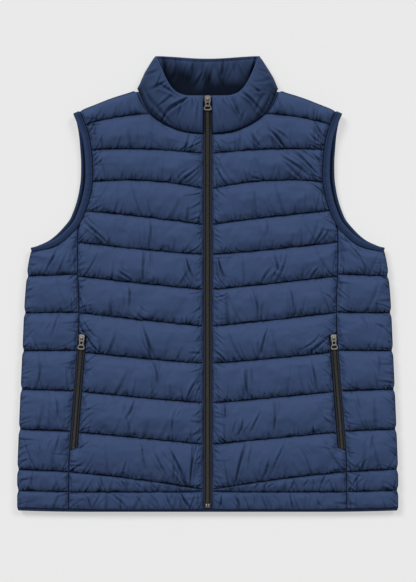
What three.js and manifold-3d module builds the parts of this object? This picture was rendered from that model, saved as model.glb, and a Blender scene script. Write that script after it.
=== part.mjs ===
// Quilted puffer vest, zipped up and laid flat on its back
// X runs across the vest towards the wearer's left, Y from the hem to the neck, Z up from the surface.
// Sizes are millimetres. Left and right are the wearer's.
import * as THREE from 'three';
import { mergeVertices } from 'three/addons/utils/BufferGeometryUtils.js';
import Module from 'manifold-3d';

const wasm = await Module();
wasm.setup();

// Layers of the flat vest
const GAP = 0.3;
const BACK_THICKNESS = 12;
const INSIDE = BACK_THICKNESS + GAP;
const SEAM_THICKNESS = 3;
const EDGE_THICKNESS = 2;
const CROWN = 10.5;
const FULL_BAFFLE = 22;
const BAFFLE_ROUNDNESS = 0.62;
const SAME_POINT = 0.002;
const PLACING_PASSES = 12;

// Closing edge beside the main zip
const ZIP_HALF = 7.4;
const FLAT_STRIP = 3;

// Hem and neck, on the centre line
const FRONT_HEM = -349.8;
const BACK_HEM = -353.4;
const FRONT_HEM_CURVE = { from: 160, span: 60, start: 0, rise: 1.5 };
const SIDE_HEM_CURVE = { from: 220, span: 75, start: 1.5, rise: 1.8 };
const NECK_FRONT = 232.8;
const COLLAR_HEIGHT = 59;
const COLLAR_LIFT = 8.3;

// Side edge of the body, from the armhole down to the hem
const SIDE = [
  { y: 56, x: 272.4 },
  { y: 38, x: 276.8 },
  { y: 18.6, x: 279.8 },
  { y: -27.9, x: 283.7 },
  { y: -93, x: 286.8 },
  { y: -176.7, x: 290.6 },
  { y: -251.1, x: 293.7 },
  { y: -297.6, x: 295.3 },
  { y: -354, x: 295.3 },
];

// Armhole seam of the front, with the width of its binding and how far the back edge shows beyond it
const ARMHOLE = [
  { x: 199.6, y: 268.5, band: 9.6, show: 0.5 },
  { x: 193.4, y: 255, band: 10, show: 1 },
  { x: 185.2, y: 232.5, band: 10, show: 5 },
  { x: 181.1, y: 210.8, band: 10, show: 7 },
  { x: 179.2, y: 189.1, band: 10, show: 7.6 },
  { x: 178.6, y: 162.8, band: 10.4, show: 8.2 },
  { x: 180.7, y: 145.7, band: 10.4, show: 8.2 },
  { x: 184.3, y: 130.2, band: 10.2, show: 7.8 },
  { x: 189.9, y: 113.2, band: 9.8, show: 7.6 },
  { x: 199, y: 93, band: 9.6, show: 7.2 },
  { x: 210.6, y: 79, band: 9.4, show: 6.6 },
  { x: 225.1, y: 65.9, band: 9, show: 5.6 },
  { x: 242, y: 57, band: 8, show: 3.6 },
  { x: 263.5, y: 52.2, band: 6, show: 1 },
  { x: 273.4, y: 50.4, band: 5, show: 0.5 },
];
const SHOULDER_TIP = 268.5;
const SIDE_PANEL_TOP = 85;
const UNDERARM = { x: 195, y: 120 };

// Shoulder edge, from the neck point to the armhole
const SHOULDER = [
  { x: 111, y: 299.8 },
  { x: 148, y: 288.3 },
  { x: 172, y: 279 },
  { x: 199, y: 268.4 },
];

// Front neck seam, from the zip to the neck point
const NECKLINE = [
  { x: 0, y: NECK_FRONT },
  { x: 19.4, y: 233.7 },
  { x: 37.2, y: 236.4 },
  { x: 51.9, y: 241 },
  { x: 67.1, y: 248 },
  { x: 81.5, y: 257.3 },
  { x: 91.8, y: 266.6 },
  { x: 100.3, y: 277.5 },
  { x: 105.9, y: 288.3 },
  { x: 111, y: 299.8 },
];

// Seam between a front panel and its side panel, with the pocket zip set in its front edge
const PANEL_SEAM = [
  { y: 90, x: 201.5 },
  { y: 45, x: 202.4 },
  { y: 11, x: 201.6 },
  { y: -25, x: 200 },
  { y: -67, x: 200 },
  { y: -79, x: 200.6 },
  { y: -168, x: 207.4 },
  { y: -256, x: 214.3 },
  { y: -300, x: 215.6 },
  { y: -354, x: 216 },
];

// Quilting lines of a front panel: height at the zip, at the middle and at the side
const LINE_AT = { zip: 8, middle: 103, side: 198 };
const FRONT_LINES = [
  { zip: 256, middle: 263.5, side: 244.5 },
  { zip: 202.5, middle: 209.4, side: 207.4 },
  { zip: 148.4, middle: 161, side: 156.2 },
  { zip: 92.5, middle: 104.8, side: 114.5 },
  { zip: 46, middle: 54.3, side: 64.9 },
  { zip: -8.1, middle: 1.5, side: 12.3 },
  { zip: -65.1, middle: -55.1, side: -44.2 },
  { zip: -122.4, middle: -114.7, side: -104.6 },
  { zip: -183.8, middle: -175.6, side: -166.1 },
  { zip: -247.9, middle: -238.5, side: -229.7 },
  { zip: -317.8, middle: -303.2, side: -292.3 },
  { zip: -321.2, middle: -321.8, side: -321.6 },
];

// Quilting lines of a side panel: height at the panel seam and at the side edge
const SIDE_LINE_AT = { seam: 205, edge: 287 };
const SIDE_LINES = [
  { seam: 15.5, edge: 12.4 },
  { seam: -43.6, edge: -44.4 },
  { seam: -102.5, edge: -103.1 },
  { seam: -165.5, edge: -162.8 },
  { seam: -228.2, edge: -224.8 },
  { seam: -291, edge: -287.1 },
  { seam: -321.6, edge: -319.3 },
];
const NICK = { depth: 2, half: 5 };

// How far the padding takes to rise from each sewn edge of a panel
const FRONT_RISE = { zip: 17, seam: 14, neck: 20, shoulder: 13, hem: 10, pocket: 13 };
const SIDE_RISE = { seam: 14, side: 24, underarm: 14, hem: 10, pocket: 12 };

// Places of the rows in a baffle and of the columns across a panel, as shares
const ROW_SHARES = [0, 0.11, 0.36, 0.64, 0.89];
const FRONT_COLUMNS = [
  0, 0.014, 0.045, 0.1, 0.18, 0.27, 0.36, 0.45, 0.541, 0.62, 0.7, 0.78, 0.85, 0.9, 0.935, 0.97, 1,
];
const SIDE_COLUMNS = [0, 0.05, 0.16, 0.34, 0.56, 0.74, 0.88, 0.96, 1];

// Largest folds pressed into the padding: from one end to the other, depth and half width
const FOLDS = [
  { x: 98.3, y: 235.6, toX: 123.1, toY: 207.7, depth: 4, half: 7 },
  { x: 116.9, y: 198.4, toX: 152.5, toY: 169, depth: 2.6, half: 7 },
  { x: 106, y: 45, toX: 107.6, toY: 15, depth: 2.8, half: 8 },
  { x: 71.9, y: -6.2, toX: 76.6, toY: -48, depth: 2.6, half: 8 },
  { x: 186.6, y: -79, toX: 161.8, toY: -105.4, depth: 2.8, half: 8 },
  { x: 59.5, y: -130, toX: 62.6, toY: -176.7, depth: 2.8, half: 8 },
  { x: 102.9, y: -179.8, toX: 102.9, toY: -229.4, depth: 2.6, half: 8 },
  { x: 61, y: -246.5, toX: 40.9, toY: -308.5, depth: 3, half: 8 },
  { x: 126.2, y: -324, toX: 133.9, toY: -347, depth: 3, half: 8 },
  { x: -39.7, y: 156.6, toX: -16.4, toY: 179.8, depth: 2.8, half: 8 },
  { x: -89.3, y: 102.3, toX: -89.3, toY: 55.8, depth: 2.6, half: 8 },
  { x: -98.6, y: 52, toX: -98.6, toY: 1.6, depth: 2.8, half: 8 },
  { x: -199.3, y: -62, toX: -171.4, toY: -102.3, depth: 3.4, half: 8 },
  { x: -95.5, y: -79, toX: -86.2, toY: -114.7, depth: 2.8, half: 8 },
  { x: -83, y: -142, toX: -86, toY: -176.7, depth: 2.6, half: 8 },
  { x: -121.8, y: -195.3, toX: -118.7, toY: -235.6, depth: 2.8, half: 8 },
  { x: -56.7, y: -257.3, toX: -35, toY: -308.5, depth: 3, half: 8 },
  { x: -42.8, y: -321, toX: -25.7, toY: -348, depth: 3.4, half: 8 },
];
const FOLD_LIMIT = 0.75;

// Outline of the back where it doesn't follow the side edge or the armhole
const BACK_HEM_EDGE = [
  [0, BACK_HEM],
  [90, BACK_HEM],
  [180, BACK_HEM + 0.2],
  [240, BACK_HEM + 1.2],
  [286, BACK_HEM + 4.4],
];
const BACK_NECK_EDGE = [
  [172, 278.2],
  [148, 287.4],
  [112, 297.6],
  [105, 298.4],
  [98, 297.8],
  [90, 296.2],
  [70, 292.9],
  [46, 290.4],
  [23, 288.9],
  [0, 288.5],
];
const BACK_SIDE_TOP = 46;
const BACK_ARMHOLE = { from: 0.02, span: 0.93, steps: 14 };
const BACK_FLANK = [
  { z: 0, inset: 8 },
  { z: 2, inset: 3.4 },
  { z: 5.5, inset: 0.8 },
  { z: 9, inset: 0 },
  { z: BACK_THICKNESS, inset: 1 },
];

// Sections of the collar's middle surface, from the zip round the side fold to the centre back
const COLLAR = [
  { seam: [7.8, NECK_FRONT + GAP, 14.2], top: [7.8, 291.6, 22.5], fold: 0, back: 0 },
  { seam: [24, 234.6, 14.2], top: [20, 291, 22.5], fold: 0, back: 0 },
  { seam: [40, 237.7, 14.2], top: [33, 291.8, 22.5], fold: 0, back: 0 },
  { seam: [54.8, 243, 14.2], top: [44, 294.8, 22.5], fold: 0, back: 0 },
  { seam: [68.6, 250, 14.2], top: [52, 300.2, 22.4], fold: 0, back: 0 },
  { seam: [81, 258.1, 14.2], top: [59, 309, 22.3], fold: 0, back: 0 },
  { seam: [91, 267.3, 14.2], top: [64.8, 319.5, 22.1], fold: 0.15, back: 0 },
  { seam: [98.2, 278.4, 14.2], top: [70, 331, 21.6], fold: 0.4, back: 0 },
  { seam: [103, 289.2, 14.2], top: [74.5, 342, 20], fold: 0.75, back: 0 },
  { seam: [106.2, 297.2, 14.2], top: [78, 349, 16.8], fold: 0.95, back: 0 },
  { seam: [107.8, 301.8, 12.2], top: [79.6, 352.2, 12.6], fold: 1, back: 0.4 },
  { seam: [106.6, 302.8, 8.6], top: [78, 352.6, 8.4], fold: 0.9, back: 0.8 },
  { seam: [101, 301.4, 5.8], top: [73, 352.4, 5.6], fold: 0.6, back: 1 },
  { seam: [90, 298.2, 5], top: [64, 351.9, 5], fold: 0.2, back: 1 },
  { seam: [70, 294.4, 5], top: [50, 351, 5], fold: 0, back: 1 },
  { seam: [46, 291.6, 5], top: [33, 349.7, 5], fold: 0, back: 1 },
  { seam: [23, 290, 5], top: [16, 348.7, 5], fold: 0, back: 1 },
  { seam: [0, 289.4, 5], top: [0, 348.4, 5], fold: 0, back: 1 },
];
const COLLAR_EDGE = 1.6;
const COLLAR_OUTER_PUFF = 5.4;
const COLLAR_BACK_PUFF = 4;
const COLLAR_INNER_PUFF = 1.8;
const COLLAR_ROWS = [0, 0.08, 0.24, 0.5, 0.76, 0.92, 1];
const COLLAR_END = { step: 15, start: 2, rise: 22 };

// Armhole binding, folded over the shoulder tip and the underarm
const BINDING_FRONT_Z = 15;
const BINDING_BACK_Z = 7;
const BINDING_THICKNESS = 4.6;
const BINDING_BACK_WIDTH = 10;
const BINDING_SECTION = [
  [1, -0.28],
  [1, 0.28],
  [0.7, 0.5],
  [-0.7, 0.5],
  [-1, 0.28],
  [-1, -0.28],
  [-0.7, -0.5],
  [0.7, -0.5],
];
const BINDING_ENDS = { from: 0.035, to: 0.955, steps: 22 };
const FOLD_DEGREES = [30, 90, 150];

// Zip parts, measured from the middle of the tape
const TAPE = { half: 0.45, openAt: 1.2, apart: 1.9, openFrom: 1.5 };
const COIL = { bottom: 0.75, top: 2.75, edge: 0.5, edgeDrop: 0.7, end: 1.6 };
const SLIDER = {
  bottom: -2.2,
  floor: -1,
  roof: 3.1,
  top: 4.3,
  pivot: 6.1,
  length: 10.4,
  shoulder: 1.6,
  taper: 0.6,
  foot: 1.2,
};
const WEDGE = { radius: 1.1, setback: 1.8, overlap: 0.8 };
const BRIDGE = { outer: 2.9, inner: 1.3, thickness: 1.6, sunk: 0.3 };
const PULL = {
  thickness: 1.3,
  tilt: THREE.MathUtils.degToRad(7.5),
  neck: 3.1,
  neckTop: 0.7,
  neckFoot: -4.4,
  corner: 3,
  cornerWidth: 2.6,
  slotHalf: 1.5,
  slotTop: -0.7,
  slotFoot: -3.9,
  roundAt: 0.44,
  roundRadius: 1.1,
  ovalUp: 5,
  ovalMargin: 2.6,
  ovalHalf: 2.2,
};
const TAPE_LEVEL = 14.2;
const MAIN_ZIP = {
  chain: 5,
  width: 2 * ZIP_HALF - 2 * GAP,
  top: 291.6,
  sliderY: 286.4,
  sliderWidth: 9,
  pull: 18,
  pullWidth: 12,
  tapeStart: 1,
  coilStart: 11,
};
const ZIP_BOX = { width: 7.8, length: 7, height: 3.2, up: 6.5 };
const POCKET_ZIP = {
  topX: 194.5,
  topY: -78,
  bottomX: 208.3,
  bottomY: -255.8,
  chain: 4.4,
  width: 11.2,
  sliderDrop: 5.4,
  sliderWidth: 8.4,
  pull: 18.6,
  pullWidth: 10.4,
  coilStart: 0.5,
};
const SLOT = { spare: 30, height: 40 };

// Cloth and metal finishes
const finish = (color, roughness, metalness) => (
  new THREE.MeshStandardMaterial({ color, roughness, metalness })
);
const SHELL = finish(0x33456b, 0.55, 0);
const BINDING = finish(0x2c3c60, 0.7, 0);
const TAPE_CLOTH = finish(0x303133, 0.85, 0);
const COIL_NYLON = finish(0x232426, 0.5, 0);
const METAL = finish(0xa9a8a4, 0.35, 1);

// Smooth function through the rows of a table, from one named column to another
function through(rows, from, to) {
  const sorted = [...rows].sort((a, b) => a[from] - b[from]);
  const slope = sorted.map((row, i) => {
    const before = sorted[Math.max(i - 1, 0)];
    const after = sorted[Math.min(i + 1, sorted.length - 1)];
    return (after[to] - before[to]) / (after[from] - before[from]);
  });
  return (value) => {
    const last = sorted.length - 1;
    if (value <= sorted[0][from]) return sorted[0][to];
    if (value >= sorted[last][from]) return sorted[last][to];
    const i = sorted.findIndex((row, k) => k < last && value <= sorted[k + 1][from]);
    const span = sorted[i + 1][from] - sorted[i][from];
    const t = (value - sorted[i][from]) / span;
    const start = sorted[i][to] * (2 * t ** 3 - 3 * t ** 2 + 1) + slope[i] * span * (t ** 3 - 2 * t ** 2 + t);
    return start + sorted[i + 1][to] * (3 * t ** 2 - 2 * t ** 3) + slope[i + 1] * span * (t ** 3 - t ** 2);
  };
}

// Collects the faces of one closed solid and joins points that coincide
class Skin {
  constructor() {
    this.points = [];
    this.faces = [];
    this.index = new Map();
  }

  point(x, y, z) {
    const key = [x, y, z].map((v) => Math.round(v * 1000)).join(',');
    if (!this.index.has(key)) {
      this.index.set(key, this.points.length / 3);
      this.points.push(x, y, z);
    }
    return this.index.get(key);
  }

  triangle(a, b, c) {
    if (a !== b && b !== c && c !== a) this.faces.push(a, b, c);
  }

  quad(a, b, c, d) {
    this.triangle(a, b, c);
    this.triangle(a, c, d);
  }

  geometry() {
    const geometry = new THREE.BufferGeometry();
    geometry.setAttribute('position', new THREE.Float32BufferAttribute(this.points, 3));
    geometry.setIndex(this.faces);
    return geometry;
  }
}

// Joins rings of points into a closed solid; faces point out where the rings turn anticlockwise
function loft(rings, closed = false) {
  const skin = new Skin();
  const ids = rings.map((ring) => ring.map((p) => skin.point(...p)));
  const count = ids[0].length;
  const steps = closed ? ids.length : ids.length - 1;
  for (let i = 0; i < steps; i += 1) {
    const next = ids[(i + 1) % ids.length];
    for (let j = 0; j < count; j += 1) {
      const k = (j + 1) % count;
      skin.quad(ids[i][j], ids[i][k], next[k], next[j]);
    }
  }
  if (!closed) {
    const last = ids[ids.length - 1];
    for (let j = 1; j < count - 1; j += 1) {
      skin.triangle(ids[0][0], ids[0][j + 1], ids[0][j]);
      skin.triangle(last[0], last[j], last[j + 1]);
    }
  }
  return skin.geometry();
}

// Mirrors a solid to the wearer's right and keeps its faces pointing out
function mirrored(geometry) {
  const copy = geometry.clone().scale(-1, 1, 1);
  const index = copy.index.array;
  for (let i = 0; i < index.length; i += 3) [index[i], index[i + 1]] = [index[i + 1], index[i]];
  return copy;
}

// Carries geometry into the solid library and back
function solid(geometry) {
  const bare = geometry.clone();
  bare.deleteAttribute('normal');
  bare.deleteAttribute('uv');
  const merged = mergeVertices(bare, 1e-4);
  const mesh = { numProp: 3, vertProperties: merged.attributes.position.array };
  return new wasm.Manifold(new wasm.Mesh({ ...mesh, triVerts: new Uint32Array(merged.index.array) }));
}

function fromSolid(body) {
  const mesh = body.getMesh();
  const geometry = new THREE.BufferGeometry();
  geometry.setAttribute('position', new THREE.Float32BufferAttribute(mesh.vertProperties, 3));
  geometry.setIndex([...mesh.triVerts]);
  return geometry;
}

const vest = new THREE.Group();

function add(name, geometry, material, parent = vest) {
  const mesh = new THREE.Mesh(geometry, material);
  mesh.name = name;
  parent.add(mesh);
}

// Edges worked out from the tables
const sideX = through(SIDE, 'y', 'x');
const seamX = through(PANEL_SEAM, 'y', 'x');
const armholeX = through(ARMHOLE.filter((row) => row.y > SIDE_PANEL_TOP), 'y', 'x');
const armholeY = through(ARMHOLE.filter((row) => row.x > UNDERARM.x && row.y < UNDERARM.y), 'x', 'y');
const shoulderY = through(SHOULDER, 'x', 'y');
const necklineY = through(NECKLINE, 'x', 'y');
const topY = (x) => (x < SHOULDER[0].x ? necklineY(x) : shoulderY(x));
const frontLineY = FRONT_LINES.map((row) => {
  const [a, b, c] = ['zip', 'middle', 'side'].map((place) => ({ x: LINE_AT[place], y: row[place] }));
  return (x) => a.y * ((x - b.x) * (x - c.x)) / ((a.x - b.x) * (a.x - c.x))
    + b.y * ((x - a.x) * (x - c.x)) / ((b.x - a.x) * (b.x - c.x))
    + c.y * ((x - a.x) * (x - b.x)) / ((c.x - a.x) * (c.x - b.x));
});
const sideLineY = SIDE_LINES.map((row) => (x) => {
  const t = (x - SIDE_LINE_AT.seam) / (SIDE_LINE_AT.edge - SIDE_LINE_AT.seam);
  return row.seam + (row.edge - row.seam) * t;
});

// Side edge with the small nick that each quilting line pulls into it
function nickedSide(y) {
  const nick = SIDE_LINES.reduce((sum, row) => sum + Math.exp(-(((y - row.edge) / NICK.half) ** 2)), 0);
  return sideX(y) - NICK.depth * nick;
}

// Hem that curves up beyond a width
const hemY = (x, curve) => (
  FRONT_HEM + curve.start + (x > curve.from ? curve.rise * ((x - curve.from) / curve.span) ** 2 : 0)
);

// How deep the folds press at one point
function foldDepth(x, y) {
  return FOLDS.reduce((sum, f) => {
    const dx = f.toX - f.x;
    const dy = f.toY - f.y;
    const t = THREE.MathUtils.clamp(((x - f.x) * dx + (y - f.y) * dy) / (dx * dx + dy * dy), 0, 1);
    const away = Math.hypot(x - f.x - t * dx, y - f.y - t * dy);
    return sum + f.depth * Math.exp(-((away / f.half) ** 2));
  }, 0);
}

// How full the padding is at a distance from a sewn edge
const rounded = (distance, radius) => (
  Math.sqrt(1 - (1 - THREE.MathUtils.clamp(distance / radius, 0, 1)) ** 2)
);

// Distance outside the slot that the pocket zip is set in
const pocketWide = POCKET_ZIP.bottomX - POCKET_ZIP.topX;
const pocketHigh = POCKET_ZIP.topY - POCKET_ZIP.bottomY;
const pocketAngle = Math.atan2(pocketWide, pocketHigh);
const pocketLength = Math.hypot(pocketWide, pocketHigh);
const pocketMiddle = {
  x: (POCKET_ZIP.topX + POCKET_ZIP.bottomX) / 2,
  y: (POCKET_ZIP.topY + POCKET_ZIP.bottomY) / 2,
};
function pocketDistance(x, y) {
  const right = x - pocketMiddle.x;
  const up = y - pocketMiddle.y;
  const across = right * Math.cos(pocketAngle) + up * Math.sin(pocketAngle);
  const along = up * Math.cos(pocketAngle) - right * Math.sin(pocketAngle);
  const outX = Math.max(Math.abs(across) - POCKET_ZIP.width / 2, 0);
  const outY = Math.max(Math.abs(along) - pocketLength / 2, 0);
  return Math.hypot(outX, outY);
}

// Height of the padded top of a baffle at one point
function baffleHeight({ x, y, share, depth, edges, side }) {
  const crown = CROWN * (1 - Math.exp(-depth / FULL_BAFFLE));
  const profile = Math.sin(Math.PI * share) ** BAFFLE_ROUNDNESS;
  const held = edges.reduce((least, edge) => Math.min(least, rounded(edge.distance, edge.rise)), 1);
  const thickness = THREE.MathUtils.lerp(EDGE_THICKNESS, SEAM_THICKNESS, held);
  const puff = crown * profile * held;
  const folded = Math.min(foldDepth(side * x, y), puff * FOLD_LIMIT);
  return INSIDE + thickness + puff - folded;
}

// A quilted panel: columns from its inner to its outer edge, rows that follow its quilting lines
function quiltedPanel({ columns, shares, lines, top, inner, outer, edgesAt, side }) {
  const skin = new Skin();
  const bottom = [];
  const place = (column, upper, lower, share) => {
    let y = lines[lower](inner(0));
    let x = 0;
    for (let pass = 0; pass < PLACING_PASSES; pass += 1) {
      x = THREE.MathUtils.lerp(inner(y), outer(y), column);
      const high = Math.min(lines[upper](x), top(x));
      const low = Math.min(lines[lower](x), top(x));
      y = THREE.MathUtils.lerp(high, low, share);
    }
    const depth = Math.min(lines[upper](x), top(x)) - Math.min(lines[lower](x), top(x));
    const z = baffleHeight({ x, y, share, depth, edges: edgesAt(x, y), side });
    return [x, y, z];
  };
  const grid = [];
  for (let k = 0; k < lines.length - 1; k += 1) {
    const inBaffle = k === lines.length - 2 ? [...shares, 1] : shares;
    inBaffle.forEach((share) => grid.push(columns.map((column) => place(column, k, k + 1, share))));
  }
  const ids = grid.map((row) => row.map((p) => skin.point(...p)));
  for (let r = 0; r < ids.length - 1; r += 1) {
    for (let c = 0; c < columns.length - 1; c += 1) {
      skin.quad(ids[r][c], ids[r + 1][c], ids[r + 1][c + 1], ids[r][c + 1]);
    }
  }
  const rows = grid.length;
  const last = columns.length - 1;
  for (let r = 0; r < rows; r += 1) bottom.push(grid[r][0]);
  for (let c = 1; c <= last; c += 1) bottom.push(grid[rows - 1][c]);
  for (let r = rows - 2; r >= 0; r -= 1) bottom.push(grid[r][last]);
  for (let c = last - 1; c > 0; c -= 1) bottom.push(grid[0][c]);
  closeBelow(skin, bottom);
  return skin.geometry();
}

// Walls and flat inside under an anticlockwise rim
function closeBelow(skin, rim) {
  const kept = rim.filter((p, i) => {
    const before = rim[(i + rim.length - 1) % rim.length];
    return Math.hypot(p[0] - before[0], p[1] - before[1]) > SAME_POINT;
  });
  const upper = kept.map((p) => skin.point(...p));
  const lower = kept.map((p) => skin.point(p[0], p[1], INSIDE));
  kept.forEach((p, i) => {
    const k = (i + 1) % kept.length;
    skin.quad(upper[i], lower[i], lower[k], upper[k]);
  });
  const flat = kept.map((p) => new THREE.Vector2(p[0], p[1]));
  THREE.ShapeUtils.triangulateShape(flat, []).forEach(([a, b, c]) => {
    skin.triangle(lower[a], lower[c], lower[b]);
  });
}

// Front panels and side panels
function frontPanel(side) {
  const outer = (y) => {
    const edge = y > SIDE_PANEL_TOP + 2 ? armholeX(Math.min(y, SHOULDER_TIP)) : seamX(y);
    return edge - GAP / 2;
  };
  const hem = (x) => hemY(x, FRONT_HEM_CURVE);
  const edgesAt = (x, y) => [
    { distance: x - ZIP_HALF - FLAT_STRIP, rise: FRONT_RISE.zip },
    { distance: outer(y) - x, rise: FRONT_RISE.seam },
    { distance: topY(x) - y, rise: x > SHOULDER[0].x ? FRONT_RISE.neck : FRONT_RISE.shoulder },
    { distance: y - hem(x), rise: FRONT_RISE.hem },
    { distance: pocketDistance(x, y), rise: FRONT_RISE.pocket },
  ];
  const body = solid(quiltedPanel({
    columns: FRONT_COLUMNS,
    shares: ROW_SHARES,
    lines: [topY, ...frontLineY, hem],
    top: topY,
    inner: () => ZIP_HALF,
    outer,
    edgesAt,
    side,
  }));
  const slot = new THREE.BoxGeometry(
    POCKET_ZIP.width + 2 * GAP + SLOT.spare,
    pocketLength + 2 * GAP,
    SLOT.height,
  );
  slot.translate(SLOT.spare / 2, 0, INSIDE);
  slot.rotateZ(pocketAngle);
  slot.translate(pocketMiddle.x, pocketMiddle.y, 0);
  return fromSolid(body.subtract(solid(slot)));
}

function sidePanel(side) {
  const inner = (y) => seamX(y) + GAP / 2;
  const hem = (x) => hemY(x, SIDE_HEM_CURVE);
  const edgesAt = (x, y) => [
    { distance: x - inner(y), rise: SIDE_RISE.seam },
    { distance: nickedSide(y) - x, rise: SIDE_RISE.side },
    { distance: armholeY(x) - y, rise: SIDE_RISE.underarm },
    { distance: y - hem(x), rise: SIDE_RISE.hem },
    { distance: pocketDistance(x, y), rise: SIDE_RISE.pocket },
  ];
  return quiltedPanel({
    columns: SIDE_COLUMNS,
    shares: ROW_SHARES,
    lines: [armholeY, ...sideLineY, hem],
    top: armholeY,
    inner,
    outer: nickedSide,
    edgesAt,
    side,
  });
}

add('front_panel_left', frontPanel(1), SHELL);
add('front_panel_right', mirrored(frontPanel(-1)), SHELL);
add('side_panel_left', sidePanel(1), SHELL);
add('side_panel_right', mirrored(sidePanel(-1)), SHELL);

// Points along the armhole, with the direction away from the panel
const armholeRow = ARMHOLE.map((row, i) => ({ t: i / (ARMHOLE.length - 1), ...row }));
const armholeSpots = ARMHOLE.map((row) => new THREE.Vector3(row.x, row.y, 0));
const armholeCurve = new THREE.CatmullRomCurve3(armholeSpots, false, 'centripetal');
const bandAt = through(armholeRow, 't', 'band');
const showAt = through(armholeRow, 't', 'show');
function armholePoint(t) {
  const point = armholeCurve.getPoint(t);
  const tangent = armholeCurve.getTangent(t);
  const out = new THREE.Vector3(-tangent.y, tangent.x, 0);
  return { point, tangent, out, band: bandAt(t), show: showAt(t) };
}

// Outline of the wearer's left half of the back, from the centre hem round to the centre neck
function backHalf() {
  const half = [...BACK_HEM_EDGE];
  const lines = SIDE_LINES.map((row) => row.edge).reverse();
  lines.forEach((y, i) => {
    const next = i + 1 < lines.length ? lines[i + 1] : BACK_SIDE_TOP;
    [-NICK.half, 0, NICK.half].forEach((step) => half.push([nickedSide(y + step), y + step]));
    [0.35, 0.65].forEach((share) => {
      const between = y + (next - y) * share;
      half.push([nickedSide(between), between]);
    });
  });
  half.push([nickedSide(BACK_SIDE_TOP) - 1, BACK_SIDE_TOP]);
  for (let i = BACK_ARMHOLE.steps; i >= 0; i -= 1) {
    const t = BACK_ARMHOLE.from + (i / BACK_ARMHOLE.steps) * BACK_ARMHOLE.span;
    const { point, out, band, show } = armholePoint(t);
    const inset = band + show - BINDING_BACK_WIDTH - 2 * GAP;
    half.push([point.x + out.x * inset, point.y + out.y * inset]);
  }
  return [...half, ...BACK_NECK_EDGE];
}

// The back lies under everything, with its rounded edge at the sides and its underside flat
function backPanel() {
  const half = backHalf();
  const outline = [...half, ...half.slice(1, -1).reverse().map(([x, y]) => [-x, y])];
  const count = outline.length;
  const inward = outline.map((p, i) => {
    const before = outline[(i + count - 1) % count];
    const after = outline[(i + 1) % count];
    const direction = new THREE.Vector2(after[0] - before[0], after[1] - before[1]).normalize();
    return [-direction.y, direction.x];
  });
  const levels = BACK_FLANK.map(({ z, inset }) => outline.map((p, i) => (
    [p[0] + inward[i][0] * inset, p[1] + inward[i][1] * inset, z]
  )));
  const skin = new Skin();
  const rings = levels.map((level) => level.map((p) => skin.point(...p)));
  for (let r = 0; r < rings.length - 1; r += 1) {
    for (let i = 0; i < count; i += 1) {
      const k = (i + 1) % count;
      skin.quad(rings[r][i], rings[r][k], rings[r + 1][k], rings[r + 1][i]);
    }
  }
  [0, rings.length - 1].forEach((r) => {
    const flat = levels[r].map(([x, y]) => new THREE.Vector2(x, y));
    THREE.ShapeUtils.triangulateShape(flat, []).forEach(([a, b, c]) => {
      if (r === 0) skin.triangle(rings[r][a], rings[r][c], rings[r][b]);
      else skin.triangle(rings[r][a], rings[r][b], rings[r][c]);
    });
  });
  return skin.geometry();
}

add('back_panel', backPanel(), SHELL);

// Stand collar: a padded wall on its middle surface, open at the zip and folded at the sides
function collar() {
  const other = COLLAR.slice(0, -1).map((row) => ({
    ...row,
    seam: [-row.seam[0], row.seam[1], row.seam[2]],
    top: [-row.top[0], row.top[1], row.top[2]],
  }));
  const sections = [...COLLAR, ...other.reverse()];
  const middle = sections.map((row) => COLLAR_ROWS.map((share) => {
    const point = new THREE.Vector3(...row.seam).lerp(new THREE.Vector3(...row.top), share);
    const puff = Math.sqrt(4 * share * (1 - share));
    point.x -= Math.sign(point.x) * row.fold * puff * COLLAR_OUTER_PUFF;
    return point;
  }));
  const last = sections.length - 1;
  const wall = (c, r, outward) => {
    const along = middle[Math.min(c + 1, last)][r].clone().sub(middle[Math.max(c - 1, 0)][r]);
    const up = middle[c][COLLAR_ROWS.length - 1].clone().sub(middle[c][0]);
    const normal = along.cross(up).normalize();
    const puff = Math.sqrt(4 * COLLAR_ROWS[r] * (1 - COLLAR_ROWS[r]));
    const free = rounded(Math.min(c, last - c) * COLLAR_END.step + COLLAR_END.start, COLLAR_END.rise);
    const outerPuff = THREE.MathUtils.lerp(COLLAR_OUTER_PUFF, COLLAR_BACK_PUFF, sections[c].back) * free;
    const offset = outward ? COLLAR_EDGE + outerPuff * puff : -COLLAR_EDGE - COLLAR_INNER_PUFF * puff * free;
    const point = middle[c][r].clone().addScaledVector(normal, offset);
    return [point.x, point.y, Math.max(point.z, 0)];
  };
  return loft(sections.map((row, c) => [
    ...COLLAR_ROWS.map((share, r) => wall(c, r, false)),
    ...COLLAR_ROWS.map((share, r) => wall(c, COLLAR_ROWS.length - 1 - r, true)),
  ]));
}

add('collar', collar(), SHELL);

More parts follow.
